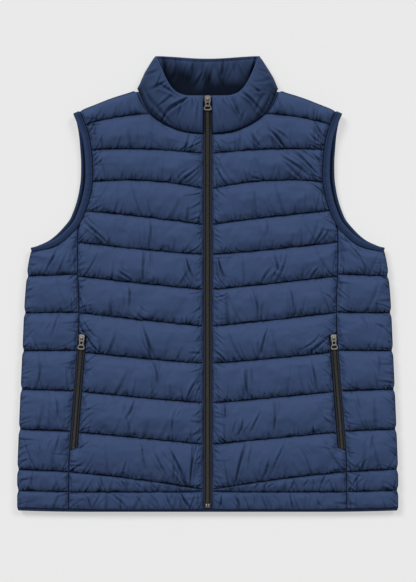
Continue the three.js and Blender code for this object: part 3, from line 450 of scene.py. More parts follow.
def refined(values, factor, axis):
    """The same surface with factor times as many points along one axis."""
    values = np.moveaxis(values, axis, 0)
    count = len(values)
    place = np.linspace(0, count - 1, (count - 1) * factor + 1)
    i = np.minimum(place.astype(int), count - 2)
    t = (place - i).reshape(-1, *([1] * (values.ndim - 1)))
    wide = np.concatenate([2 * values[:1] - values[1:2], values, 2 * values[-1:] - values[-2:-1]])
    a, b, c, d = wide[i], wide[i + 1], wide[i + 2], wide[i + 3]
    result = b + 0.5 * t * (c - a + t * (2 * a - 5 * b + 4 * c - d + t * (3 * (b - c) + d - a)))
    return np.moveaxis(result, 0, axis)


def finer(values):
    return refined(refined(values, FINER, 0), FINER, 1)


def merged_grid(points, distance, wrap=False):
    """Unique points of a grid, the faces over them, and each grid point's index."""
    rows, columns = points.shape[:2]
    flat = points.reshape(-1, 3)
    cells = np.round(flat / distance).astype(int)
    _, first, index = np.unique(cells, axis=0, return_index=True, return_inverse=True)
    index = index.reshape(rows, columns)
    if wrap:
        index = np.concatenate([index, index[:, :1]], axis=1)
    quads = np.stack([index[:-1, :-1], index[1:, :-1], index[1:, 1:], index[:-1, 1:]], axis=-1)
    faces = []
    for quad in quads.reshape(-1, 4).tolist():
        corners = [v for i, v in enumerate(quad) if v != quad[i - 1]]
        if len(set(corners)) == len(corners) > 2:
            faces.append(corners)
    return flat[first], faces, index


def new_mesh(name, points, faces, edges=()):
    """A shown mesh from points in millimetres."""
    mesh = bpy.data.meshes.new(name)
    mesh.from_pydata((np.asarray(points) * MM).tolist(), edges, faces)
    return new_object(name, mesh)


def coordinates(mesh):
    flat = np.empty(len(mesh.vertices) * 3)
    mesh.vertices.foreach_get("co", flat)
    return flat.reshape(-1, 3) / MM


def settled_mesh(piece):
    """The plain mesh that an object's modifiers or its curve make."""
    return bpy.data.meshes.new_from_object(piece.evaluated_get(bpy.context.evaluated_depsgraph_get()))


def opened(piece):
    """A piece's mesh in its editable form."""
    mesh = bmesh.new()
    mesh.from_mesh(piece.data)
    return mesh


def put_back(mesh, piece):
    """Puts an edited mesh back, with its faces turned outwards."""
    bmesh.ops.recalc_face_normals(mesh, faces=mesh.faces)
    mesh.to_mesh(piece.data)
    mesh.free()


def close_rim(piece, moves):
    """Carries the open rim through a list of moves and fills the last one flat."""
    mesh = opened(piece)
    for move in moves:
        rim = [edge for edge in mesh.edges if edge.is_boundary]
        made = bmesh.ops.extrude_edge_only(mesh, edges=rim)["geom"]
        for vert in (item for item in made if isinstance(item, bmesh.types.BMVert)):
            vert.co.z = move(vert.co.z)
    rim = [edge for edge in mesh.edges if edge.is_boundary]
    bmesh.ops.triangle_fill(mesh, edges=rim, use_beauty=False)
    put_back(mesh, piece)


def down_to(floor_z):
    """Moves that turn a rim down in two steps to a flat inside."""
    lowest = (floor_z + 0.2) * MM
    steps = [lambda z, drop=drop: max(z - drop * MM, lowest) for drop in (0.35, 0.9)]
    return [*steps, lambda z: floor_z * MM]


def up_to(top_z):
    """Moves that carry a rim up in two steps to a flat top."""
    return [lambda z, share=share: z + (top_z * MM - z) * share for share in (0.6, 1.0)]


def mark(piece, name, index, values):
    """Stores one number a point, for the materials; index leads from the grid to the points."""
    spread = np.zeros(len(piece.data.vertices))
    spread[index] = values
    attribute = piece.data.attributes.new(name, "FLOAT", "POINT")
    attribute.data.foreach_set("value", np.asarray(spread, np.float32))


# %% [markdown]
# Cloth
# Each panel starts a little flat, is cut slightly larger than its place, and is blown up from inside while
# its sewn lines stay pinned. The spare cloth buckles, mostly next to the lines that hold it. A cap on how far
# a point may move keeps the panel inside its solid.

# %% Blow up a panel
CLOTH_FRAMES = 20
FLAT_START = 0.7
CLOTH_GROWTH = 0.02
MOST_MOVE = 6.0
CLOTH = {
    "quality": 4, "mass": 0.12, "tension_stiffness": 14, "compression_stiffness": 14, "shear_stiffness": 5,
    "bending_stiffness": 0.4, "tension_damping": 12, "compression_damping": 12, "shear_damping": 12,
    "bending_damping": 2, "air_damping": 4, "use_pressure": True, "uniform_pressure_force": 3.0,
    "shrink_min": -CLOTH_GROWTH, "shrink_max": -CLOTH_GROWTH, "vertex_group_mass": "sewn",
}


def blow_up(piece, pinned):
    """Cloth simulation with pinned seams; returns the points it settles at."""
    group = piece.vertex_groups.new(name="sewn")
    group.add([int(i) for i in np.nonzero(pinned)[0]], 1.0, "REPLACE")
    before = coordinates(piece.data)
    modifier = piece.modifiers.new("cloth", "CLOTH")
    for name, value in CLOTH.items():
        setattr(modifier.settings, name, value)
    modifier.settings.effector_weights.gravity = 0
    modifier.point_cache.frame_start = 1
    modifier.point_cache.frame_end = CLOTH_FRAMES
    for step in range(1, CLOTH_FRAMES + 1):
        scene.frame_set(step)
    after = coordinates(piece.evaluated_get(bpy.context.evaluated_depsgraph_get()).data)
    piece.modifiers.remove(modifier)
    scene.frame_set(1)
    move = after - before
    far = np.linalg.norm(move, axis=1)
    print(piece.name, "points", len(before), "moved up to", round(float(far.max()), 1), "mm")
    return before + move * np.minimum(1, MOST_MOVE / np.maximum(far, 1e-9))[:, None]


# %% [markdown]
# Puckers
# Every seam gathers the cloth a little, so short wrinkles start at the stitches and fade into the padding.
# Each one is a narrow trough with a soft ridge on one flank. Their place, lean, length and depth vary from
# one to the next, and they are longest on the side that hangs over the line below.

# %% Puckers


def scatter(cell, seed):
    """A fixed number between 0 and 1 for each cell."""
    value = np.sin(cell * 127.1 + seed * 311.7) * 43758.5453
    return value - np.floor(value)


def puckers(along, away, spacing, reach, seed, lean=0.7, bias=0, wide=1.0):
    """Depth of the short wrinkles at places along a seam and away from it; negative on their ridges.

    Each leans by chance, plus the bias, which is a number or a function of its place.
    """
    total = np.zeros_like(along)
    near = (away > 0) & (away < 1.9 * reach)
    s, d = along[near], away[near]
    depth = np.zeros_like(s)
    middle = np.floor(s / spacing)
    for step in (-3, -2, -1, 0, 1, 2, 3):
        cell = middle + step
        place = (cell + 0.1 + 0.8 * scatter(cell, seed)) * spacing
        slant = lean * (2 * scatter(cell, seed + 1) - 1) + (bias(place) if callable(bias) else bias)
        length = reach * (0.35 + 1.5 * scatter(cell, seed + 2) ** 2)
        strength = 0.25 + 0.75 * scatter(cell, seed + 3)
        half = wide * (0.85 + 0.95 * scatter(cell, seed + 4) ** 2)
        across = s - place - slant * d * (1 - 0.25 * d / reach)
        taper = np.clip(d / 0.8, 0, 1) * np.clip(1 - (d / length) ** 2, 0, 1)
        trough = np.exp(-((across / half) ** 2))
        ridge = 0.65 * np.exp(-(((across - 1.9 * half) / (1.2 * half)) ** 2))
        depth += strength * taper * (trough - ridge)
    total[near] = depth
    return total


def towards_zip(place):
    """Near the zip and near the armhole the wrinkles lean up towards the zip."""
    return -0.75 * (np.exp(-np.abs(place - ZIP_HALF) / 38) + 0.8 * np.exp(-np.abs(195 - place) / 26))


def line_puckers(x, y, lines, seed, bias=0):
    """Puckers on both sides of each quilting line."""
    total = np.zeros_like(x)
    for k, line in enumerate(lines):
        away = y - line(x)
        total += puckers(x, away, 4.6, 9, seed + 10 * k, 0.9, bias, 0.72)
        total += 0.8 * puckers(x, away, 12, 18, seed + 10 * k + 5, 0.6, bias)
        total += 0.8 * puckers(x, away, 23, 34, seed + 10 * k + 3, 0.7, bias, 1.7)
        total += 0.6 * puckers(x, -away, 6.4, 5.5, seed + 10 * k + 7, 0.9, 0, 0.85)
    return total


# %% [markdown]
# Quilted panels
# After the cloth has settled the grid is made three times finer in both directions. Each baffle rolls a
# little over the line below it, a narrow groove holds the stitches, and the puckers and the creases are
# pressed in. Last, the rim turns down and the flat inside closes the panel.

# %% Quilted panels
ROLL = 1.5
GROOVE_DEPTH = 1.7
GROOVE_HALF = 1.1
SEAM_SHADE_HALF = 1.7
CREASE_SHADE = 0.4
GATHER_SHADE = 0.4
LOWER_SHADE = 0.09
ZIP_SHADE = 0.42
HEM_SHADE = 0.8
SEWN_ROW = 1e-6
BASE = INSIDE + SEAM_THICKNESS - 0.5
START_UNEVENNESS = 0.4
ROW_SMOOTHING = 0.65
CREASE_STRENGTH = 2.0
HIGHEST_RIDGE = 2.4
LEAST_PADDING = 0.55
PULL_REACH = 22
STITCH_INSET = 1.9
FRONT_RADII = (17, 14, 16, 10, 13)
SIDE_RADII = (14, 24, 14, 10, 12)
seam_paths = []


def front_edges(x, y):
    """Distances from the inner edge, the outer edge, the top, the hem and the pocket zip."""
    inner = x - ZIP_HALF - FLAT_STRIP
    return [inner, front_outer(y) - x, top_y(x) - y, y - front_hem(x), from_pocket(x, y)]


def side_edges(x, y):
    """The same five distances for a side panel."""
    inner = x - side_inner(y)
    return [inner, nicked_side(y) - x, armhole_y(x) - y, y - side_hem(x), from_pocket(x, y)]


def evened(height, rounds=8):
    """The same heights with the short waves along each row taken out."""
    for _ in range(rounds):
        height = np.concatenate([
            height[:, :1], (height[:, :-2] + 2 * height[:, 1:-1] + height[:, 2:]) / 4, height[:, -1:],
        ], axis=1)
    return height


def settled_top(name, grid, edges, radii, seed):
    """A panel's top: flattened a little, blown up as cloth, evened out and made finer."""
    x, y = grid[..., 0], grid[..., 1]
    height = padded_height(grid, list(zip(edges(x, y), radii)))
    height = np.where(height > BASE, BASE + (height - BASE) * FLAT_START, height)
    uneven = START_UNEVENNESS * soft_noise(x / 11, y / 11, seed)
    height += uneven * np.clip((height - BASE) / 4, 0, 1)
    points = np.stack([x, y, height], axis=-1)
    flat, faces, index = merged_grid(points, 0.12)
    sheet = new_mesh(name + "_cloth", flat, faces)
    held = np.zeros(len(flat), bool)
    held[index[grid[..., 2] % 1 < SEWN_ROW]] = True
    held[index[[0, -1]]] = held[index[:, [0, -1]]] = True
    points = blow_up(sheet, held)[index]
    bpy.data.objects.remove(sheet)
    points[..., 2] = (1 - ROW_SMOOTHING) * points[..., 2] + ROW_SMOOTHING * evened(points[..., 2])
    return finer(points)


def panel_gathers(x, y, distances, lines, seed, is_front):
    """Puckers along the quilting lines, the two side seams and the hem."""
    inner, outer, _, hem, _ = distances
    gathers = 2.5 * line_puckers(x, y, lines, seed, towards_zip if is_front else 0)
    gathers += 2.4 * puckers(y, inner, 7.5, 16, seed + 91, 0.8, -0.6)
    gathers += 2.4 * puckers(y, outer, 6.5, 17, seed + 93, 0.8, 0.7)
    gathers += 0.9 * puckers(x, hem, 5, 5, seed + 95)
    in_hem = np.where(y < lines[-1](x), hem, -1)
    gathers += 2.2 * puckers(x, in_hem, 19, 24, seed + 97, 0.5, -0.45, 1.3)
    return gathers


def hanging_shade(x, y, lines, line_away):
    """Shade under the padding that hangs over each line."""
    reached = [np.where(line(x) <= y + 0.3, line(x), -999) for line in lines]
    above = np.clip(y - np.max(reached, axis=0), 0, None)
    return np.maximum(0.62 * np.exp(-above / 5), 0.3 * np.exp(-line_away / 2.2))


def panel_creases(x, y, padding):
    """The creases, with ridges that stay low and clear of the pocket pull."""
    from_pull = np.hypot(np.abs(x) - POCKET["top"][0], y - POCKET["top"][1] - 4)
    highest_ridge = -HIGHEST_RIDGE * np.clip((from_pull - PULL_REACH) / 10, 0, 1)
    return np.maximum(crease_depth(x, y, CREASES, CREASE_STRENGTH) * padding, highest_ridge)


# %% [markdown]
# One panel after another
# Two fronts and two sides are made in the same way. A right panel is the left one's grid turned over, with
# its own creases and its own seed, so the two sides never match. The colour follows the form: each point
# also stores how much shade lies on it.

# %% Make the panels


def quilted_panel(name, side, grid, edges, radii, lines, seed):
    """One quilted panel: grid, cloth, fine form and flat inside."""
    is_front = "front" in name
    points = settled_top(name, grid, edges, radii, seed)
    fine_share = finer(grid[..., 2:3])[..., 0]
    share, px, py, pz = fine_share % 1, points[..., 0], points[..., 1], points[..., 2]
    distances = [np.clip(d, 0, None) for d in edges(px, py)]
    inner, outer, top, hem, pocket = distances
    inward = np.clip(np.minimum.reduce(distances) / 3, 0, 1)
    creases = panel_creases(side * px, py, np.clip((pz - INSIDE - 1) / 6, LEAST_PADDING, 1))
    gathers = panel_gathers(px, py, distances, lines, 100 * seed, is_front)
    fine = 0.6 * soft_noise(px / 30 + py / 60, py / 19, seed + 21)
    fine = fine + 0.15 * soft_noise(px / 8, py / 9, seed + 22) - gathers
    line_away = np.minimum.reduce([np.abs(py - line(px)) for line in lines])
    groove = GROOVE_DEPTH * np.exp(-((line_away / GROOVE_HALF) ** 2))
    beside = px - ZIP_HALF if is_front else inner
    stitched = np.minimum.reduce([beside, outer, hem, pocket]) / 0.8
    stitched = np.clip(np.minimum(stitched, top / 3), 0, 1)
    pz = pz + inward * (fine - creases) - 0.5 * (stitched + inward) * groove
    low_side = np.clip((share - 0.6) / 0.3, 0, 1) * np.clip((1 - share) / 0.035, 0, 1)
    wobble = 1 + 0.5 * soft_noise(px / 9, share * 0 + np.floor(fine_share), seed + 50)
    py = py - ROLL * inward * low_side * wobble
    points = np.stack([side * px, py, np.clip(pz, INSIDE + 1.1, None)], axis=-1)
    sewn_rows = np.nonzero(grid[:, 0, 2] % 1 < SEWN_ROW)[0][1:] * FINER
    seen = inward > 0.9
    seam_paths.extend(points[row][seen[row]] for row in sewn_rows if seen[row].sum() > 8)
    if is_front:
        column = np.argmin(np.abs(px[len(px) // 2] - ZIP_HALF - STITCH_INSET))
        seam_paths.append(points[:, column][py[:, column] < NECK_FRONT - 2])
    flat, faces, index = merged_grid(points[:, ::-1] if side < 0 else points, 0.06)
    piece = new_mesh(name, flat, faces)
    # Painted shade: a dark line along each sewn groove, shade under each baffle's overhang, in the creases
    # and gathers, beside the zip, at the outer edges and the hem, and a little darker towards the hem.
    seam_shade_half = SEAM_SHADE_HALF * (1 + 0.4 * soft_noise(px / 9, np.floor(share * 0 + py / 30), seed + 60))
    seam_line_shade = np.exp(-((line_away / seam_shade_half) ** 2)) * (0.85 * stitched + 0.15 * inward)
    shade = np.maximum(seam_line_shade, hanging_shade(px, py, lines, line_away) * inward)
    shade = np.maximum(shade, CREASE_SHADE * np.clip(creases / 3 - 0.1, 0, 1))
    shade = np.maximum(shade, LOWER_SHADE * np.clip((-py - 150) / 150, 0, 1))
    shade = 1 - (1 - shade) * (1 - GATHER_SHADE * np.clip(gathers / 1.8, 0, 1))
    if is_front:
        shade = np.maximum(shade, ZIP_SHADE * np.clip(1.5 - (px - ZIP_HALF) / 2.2, 0, 1))
    shade = np.maximum(shade, np.exp(-((np.minimum(outer, top) / 1.4) ** 2)))
    shade = np.maximum(shade, HEM_SHADE * np.exp(-((hem / 2.6) ** 4)))
    mark(piece, "fold_shade", index, shade[:, ::-1] if side < 0 else shade)
    close_rim(piece, down_to(INSIDE))
    piece.data.shade_smooth()
    print(name, "faces", len(piece.data.polygons), "top", round(float(pz.max()), 1), "mm")
    return piece


FIRST_SEED = 11
FRONT = (front_grid, front_edges, FRONT_RADII, front_line_y)
SIDE_FRONT = (side_grid, side_edges, SIDE_RADII, side_line_y)
panels = {}
for kind, pattern in (("front", FRONT), ("side", SIDE_FRONT)):
    for hand_name, side in SIDES:
        made = quilted_panel(f"{kind}_{hand_name}", side, *pattern, FIRST_SEED + len(panels))
        panels[f"{kind}_panel_{hand_name}"] = made

# %% [markdown]
# Collar
# The collar is one padded band folded round the neck. In front it stands and rolls forward, so its outside is
# seen. At the back it lies on the table with its inside up. The band is swept through sections that run from
# one end at the zip to the other, each from the neck seam to the free edge.

# %% Collar
COLLAR = {
    "seam_x": (7.5, 24, 40, 54.8, 68.6, 81, 91, 98.2, 103, 106.2, 107.8, 106.6, 101, 90, 70, 46, 23, 0),
    "seam_y": (233.1, 234.6, 237.7, 243, 250, 258.1, 267.3, 278.4, 289.2, 297.2, 301.8, 302.8, 301.4,
               298.2, 294.4, 291.6, 290, 289.4),
    "seam_z": (14.2, 14.2, 14.2, 14.2, 14.2, 14.2, 14.2, 14.2, 14.2, 14.2, 12.2, 8.6, 5.8, 5, 5, 5, 5, 5),
    "top_x": (7.5, 20, 33, 44, 52, 59, 64.8, 70, 74.5, 78, 79.6, 78, 73, 64, 50, 33, 16, 0),
    "top_y": (291.6, 291, 291.8, 294.8, 300.2, 309, 319.5, 331, 342, 349, 352.2, 352.6, 352.4, 351.9, 351,
              349.7, 348.7, 348.4),
    "top_z": (22.5, 23.5, 25, 26.5, 27.5, 27.5, 26.8, 25, 21.5, 17.4, 13.4, 10.6, 9.6, 9.4, 9.4, 9.4, 9.4,
              9.4),
    "fold": (0, 0, 0, 0, 0, 0, 0.15, 0.4, 0.75, 0.95, 1, 0.9, 0.6, 0.2, 0, 0, 0, 0),
    "back": (0, 0, 0, 0, 0, 0, 0, 0, 0, 0, 0.4, 0.8, 1, 1, 1, 1, 1, 1),
}
COLLAR_MIRROR = (-1, 1, 1, -1, 1, 1, 1, 1)
COLLAR_HEIGHT = 59
COLLAR_COLUMNS = 36
COLLAR_END_ANGLES = (30, 60, 90, 120, 150)
COLLAR_STITCH_INSET = 3.2
COLLAR_EDGE = 1.6
COLLAR_OUTER_PUFF = 8.0
COLLAR_BACK_PUFF = 4.0
COLLAR_INNER_PUFF = 2.2
COLLAR_CREASES = (
    (-81, 309, -44, 290, 3.4, 4.2), (-31.2, 288.6, -62, 266, 4, 4), (-57, 270, -72, 252, 1.8, 3.4),
    (-62, 312, -92, 300, 2, 4), (-76, 330, -98, 322, 1.8, 4), (-24, 289, -20, 270, 1.6, 3),
    (-88, 286, -60, 250, 2.4, 4.4), (-97, 300, -84, 268, 2, 4), (-40, 286, -44, 258, 1.6, 4),
    (-14, 280, -15, 244, 1.5, 4), (-52, 290, -76, 276, 2, 3.6), (-72, 322, -84, 296, 1.8, 3.6),
    (34, 290, 51, 260, 3.8, 3.2), (43, 291, 47, 268, 2.2, 3), (53, 297, 72, 279, 3.2, 3.2),
    (61, 289, 86, 262, 2.8, 3.8), (69, 297, 90, 300, 2.6, 3.2), (74, 312, 101, 316, 2.2, 3.6),
    (66, 306, 84, 292, 2.4, 3.2), (96, 290, 78, 252, 2.2, 4.2), (88, 296, 74, 268, 1.8, 3.6),
    (22, 289, 30, 268, 1.8, 3), (14, 276, 20, 246, 1.4, 4), (78, 330, 98, 326, 1.6, 3.6),
    (58, 266, 52, 250, 1.6, 3.4),
)
LINING_CREASES = (
    (-69, 349, -66.8, 322, 3.4, 3.6), (71.9, 349, 69.6, 322, 3.4, 4), (-26.5, 341, -35, 313, -2.2, 3),
    (-21, 343, -27, 316, 2, 3.2), (-1.5, 342, -12.6, 311, -2, 3), (-8, 330, -17, 306, 1.6, 3.2),
    (17.5, 338, 26, 304, -2, 3), (24, 344, 20, 322, 2.2, 3), (36.4, 343, 30, 316, -2, 2.8),
    (42, 342, 44, 320, 1.4, 3.4), (52, 343, 57, 318, -1.4, 3.4), (-48, 345, -52, 318, 1.6, 4.2),
    (6, 336, 4, 310, 1.6, 4.4), (-58, 345, -60, 320, -1.2, 3.4),
)


def round_the_ring(outer, inner, edge=0.0):
    """Numbers for a whole section: outer wall, free edge, inner wall and foot."""
    ends = np.zeros((len(outer), len(COLLAR_END_ANGLES)))
    return np.concatenate([outer, ends + edge, inner[:, ::-1], ends], axis=1)


def rounded_end(middle, normal, rise, bulge):
    """Points that carry one wall round an edge to the other."""
    turns = np.array(COLLAR_END_ANGLES) * math.pi / 180
    return np.stack([
        middle + COLLAR_EDGE * (normal * math.cos(a) + bulge * rise * math.sin(a)) for a in turns
    ], axis=1)


def collar_shade(ring, height, facing_front, facing_back, back, pulled, pressed):
    """Shade at the neck seam, the top stitch, the inside and wherever the cloth is pulled or pressed in."""
    seam_side = round_the_ring(height, height, COLLAR_HEIGHT)
    from_edge = COLLAR_HEIGHT - seam_side
    shade = np.maximum(np.zeros(ring.shape[:2]), 0.8 * np.exp(-((seam_side / 2.4) ** 2)))
    stitch = np.exp(-(((from_edge - COLLAR_STITCH_INSET) / 0.8) ** 2))
    shade = np.maximum(shade, 0.5 * stitch * back)
    shade = np.maximum(shade, 0.45 * np.exp(-seam_side / 9) * (1 - back))
    low_light = 0.08 + 0.26 * np.clip((np.abs(ring[..., 0]) - 45) / 45, 0, 1)
    shade = 1 - (1 - shade) * (1 - facing_front * low_light)
    inner_rim = np.exp(-((from_edge / 1.6) ** 2)) * facing_back.max(axis=0) * 0.5
    shade = np.maximum(shade, inner_rim)
    shade = 1 - (1 - shade) * (1 - round_the_ring(pulled, pulled))
    shade = np.maximum(shade, 0.35 * np.clip(pressed / 3.2 - 0.1, 0, 1))
    cloudy = 0.35 * soft_noise(ring[..., 0] / 11, seam_side / 30, 75)
    hollow = np.clip(1.38 - seam_side / 52 - cloudy, 0.22, 0.97)
    return 1 - (1 - shade) * (1 - facing_back * hollow)


def collar():
    half = np.array(list(COLLAR.values())).T
    sections = refined(np.concatenate([half, half[:-1][::-1] * np.array(COLLAR_MIRROR)]), 11, 0)
    share = mixed_columns(COLLAR_COLUMNS, 0.11)[None, :]
    puff = np.sqrt(np.clip(4 * share * (1 - share), 0, 1))
    seam, top = sections[:, None, 0:3], sections[:, None, 3:6]
    fold, back = sections[:, None, 6], sections[:, None, 7]
    rolled = 1.6 * (1 - back[..., None])
    top = top + rolled * (seam - top) / np.linalg.norm(seam - top, axis=-1, keepdims=True)
    middle = seam * (1 - share[..., None]) + top * share[..., None]
    middle[..., 0] -= np.sign(middle[..., 0]) * fold * puff * 5.4
    up = middle[:, -1:] - middle[:, :1]
    normal = np.cross(np.gradient(middle, axis=0), up)
    normal /= np.linalg.norm(normal, axis=-1, keepdims=True)
    rise = up / np.linalg.norm(up, axis=-1, keepdims=True)
    steps = np.linalg.norm(np.diff(middle[:, COLLAR_COLUMNS // 2], axis=0), axis=1)
    arc = np.concatenate([[0], np.cumsum(steps)])[:, None]
    free = rounded(np.minimum(arc, arc[-1] - arc) + 2, 20)
    outer = COLLAR_EDGE + (COLLAR_OUTER_PUFF * (1 - back) + COLLAR_BACK_PUFF * back) * free * puff
    inner = -COLLAR_EDGE - COLLAR_INNER_PUFF * puff * free
    height = share * COLLAR_HEIGHT
    arc_grid, height_grid = arc + 0 * share, height + 0 * arc
    soft = 1.3 * soft_noise(arc / 26, height / 24, 71) + 0.5 * soft_noise(arc / 11, height / 15, 72)
    seam_pull = 1.3 * puckers(arc_grid, height_grid, 6, 12, 173)
    seam_pull = seam_pull + 1.1 * puckers(arc_grid, COLLAR_HEIGHT - height_grid, 7, 9, 175)
    held = np.clip(puff / 0.35, 0, 1)
    fine = (soft - seam_pull) * held
    stitch = 0.9 * np.exp(-(((COLLAR_HEIGHT - height - COLLAR_STITCH_INSET) / 1.0) ** 2))
    out_wall = middle + normal * (outer + fine - stitch * back)[..., None]
    in_wall = middle + normal * (inner - 0.8 * fine + stitch)[..., None]
    rim = rounded_end(middle[:, -1], normal[:, -1], rise[:, -1], 0.9)
    foot = rounded_end(middle[:, 0], -normal[:, 0], rise[:, -1], -0.1)
    ring = np.concatenate([out_wall, rim, in_wall[:, ::-1], foot], axis=1)
    wall, none = np.ones((1, COLLAR_COLUMNS)), np.zeros((1, COLLAR_COLUMNS))
    along_back = sections[:, 7:8]
    facing_front = round_the_ring(wall, none) * (1 - along_back)
    facing_back = round_the_ring(none, wall) * along_back
    held_ring = round_the_ring(held, held)
    across, up_the_page = ring[..., 0], ring[..., 1]
    front_press = crease_depth(across, up_the_page, COLLAR_CREASES, 1.5, 1.0) * facing_front * held_ring
    back_press = crease_depth(across, up_the_page, LINING_CREASES, 2.0, 1.2) * facing_back * held_ring
    ring[..., 2] = np.maximum(ring[..., 2] - front_press - back_press, 0.05)
    flat, faces, index = merged_grid(ring, 0.03, wrap=True)
    piece = new_mesh("collar_padded", flat, faces)
    pulled = 0.6 * np.clip(seam_pull * held / 1.2, 0, 1)
    pressed = front_press + back_press
    shade = collar_shade(ring, height, facing_front, facing_back, along_back, pulled, pressed)
    mark(piece, "fold_shade", index[:, :-1], shade)
    mesh = opened(piece)
    for end in (-1, 1):
        rim_edges = [edge for edge in mesh.edges if edge.is_boundary and edge.verts[0].co.x * end > 0]
        bmesh.ops.triangle_fill(mesh, edges=rim_edges, use_beauty=False)
    put_back(mesh, piece)
    piece.data.shade_smooth()
    print("collar faces", len(piece.data.polygons), "top", round(float(ring[..., 2].max()), 1), "mm")
    return piece


panels["collar"] = collar()

# %% [markdown]
# Back panel
# The back lies under everything, so from above only its hem shows. From below it is quilted straight across.
# Its padding touches the table between the lines and each line is a shallow groove.

# %% Back panel
BACK_LINES = (240, 185, 128, 70, 12.4, -44.4, -103.1, -162.8, -224.8, -287.1, -319.3)
BACK_NECK = {
    "x": (0, 23, 46, 70, 90, 98, 105, 112, 148, 172, 186, 193, 200),
    "y": (292.5, 292.6, 293.2, 294.5, 296.6, 297.8, 298.4, 297.6, 287.4, 278.2, 272, 267.5, 261),
}
BACK_GROOVE = 3.2
BACK_FLANK = 9.0
BACK_ROW_STEP = 5.2


def outward(points):
    """Unit vectors to the open side of the armhole."""
    along = np.gradient(points, axis=0)
    along /= np.linalg.norm(along, axis=1, keepdims=True)
    return np.stack([-along[:, 1], along[:, 0]], axis=1)


armhole = refined(np.array([ARMHOLE["x"], ARMHOLE["y"], ARMHOLE["band"], ARMHOLE["show"]]).T, 12, 0)
armhole_out = outward(armhole[:, :2])
back_armhole = armhole[:, :2] + armhole_out * (armhole[:, 2:3] + armhole[:, 3:4] - 10.6)
keep = (back_armhole[:, 1] > 54) & (back_armhole[:, 1] < 268)
back_side = through({
    "y": [*back_armhole[keep][::6, 1], 46, 38],
    "x": [*back_armhole[keep][::6, 0], side_x(46.0) - 3, side_x(38.0)],
}, "y", "x")
back_top = through(BACK_NECK, "x", "y")


def back_outer(y):
    y = np.asarray(y, float)
    below = nicked_side(y) - 5 * np.clip((BACK_HEM + 6 - y) / 6, 0, 1) ** 2
    return np.where(y > 38, back_side(y), below)


def flat_line(height):
    return lambda x: height + 0 * np.asarray(x, float)


def back_hem(x):
    return BACK_HEM + np.where(x > 180, 1.6 * ((x - 180) / 100) ** 2, 0)


def back_panel():
    lines = [flat_line(h) for h in BACK_LINES]
    grid = panel_grid(
        [back_top, *lines, back_hem], back_top, lambda y: 0 * np.asarray(y, float), back_outer,
        mixed_columns(74, 0.02), BACK_ROW_STEP,
    )
    grid = refined(grid, 2, 0)
    x, y, share, depth = grid[..., 0], grid[..., 1], grid[..., 2] % 1, grid[..., 3]
    edge = np.minimum.reduce([back_outer(y) - x, back_top(x) - y, y - back_hem(x)])
    edge = np.clip(edge, 0, None)
    full = rounded(edge, BACK_FLANK)
    baffle = np.sin(np.pi * np.clip(share, 0, 1)) ** 0.5 * (1 - np.exp(-depth / 8))
    fine = 0.4 * soft_noise(x / 20, y / 14, 93) - line_puckers(x, y, lines, 9100)
    fine = fine - puckers(y, edge, 6, 10, 9300)
    z = BACK_FLANK * (1 - full) + BACK_GROOVE * (1 - baffle) * full - 0.9 * fine * full
    z = np.clip(z, 0, BACK_FLANK)
    line_away = np.min([np.abs(y - h) for h in BACK_LINES], axis=0)
    shade = np.exp(-((line_away / 1.4) ** 2)) * full
    both = np.concatenate([np.stack([-x, y, z], -1)[:, :0:-1], np.stack([x, y, z], -1)], axis=1)
    shade = np.concatenate([shade[:, :0:-1], shade], axis=1)
    flat, faces, index = merged_grid(both[:, ::-1], 0.05)
    piece = new_mesh("back_padded", flat, faces)
    mark(piece, "fold_shade", index, shade[:, ::-1])
    close_rim(piece, up_to(BACK_THICKNESS))
    piece.data.shade_smooth()
    print("back faces", len(piece.data.polygons))
    return piece


panels["back_panel"] = back_panel()

# %% [markdown]
# Armhole bindings
# A strip of cloth is folded over the raw edge of each armhole. The vest lies flat, so the front edge and the
# back edge lie side by side, and the strip turns over at the shoulder and under the arm. Two shallow rolls
# run along it, where it was stitched down.

# %% Armhole bindings
BINDING_FRONT_Z = 15.0
BINDING_BACK_Z = 7.0
BINDING_THICKNESS = 4.6
BINDING_BACK_WIDTH = 10.0
BINDING_OVERLAP = 1.4
BINDING_SPAN = (0.035, 0.955)
TURN_RINGS = 11
TURN_SHADE = 0.2


def binding_section(count=36):
    """A rounded flat section with a groove along its upper face, as shares of width and thickness."""
    angle = np.arange(count) / count * 2 * math.pi
    c, s = np.cos(angle), np.sin(angle)
    a = np.sign(c) * np.abs(c) ** 0.55
    b = 0.5 * np.sign(s) * np.abs(s) ** 0.6
    groove = 0.36 * np.exp(-(((a + 0.2) / 0.16) ** 2)) + 0.15 * np.exp(-(((a + 0.8) / 0.1) ** 2))
    return a, b - np.where(s > 0, groove, 0)


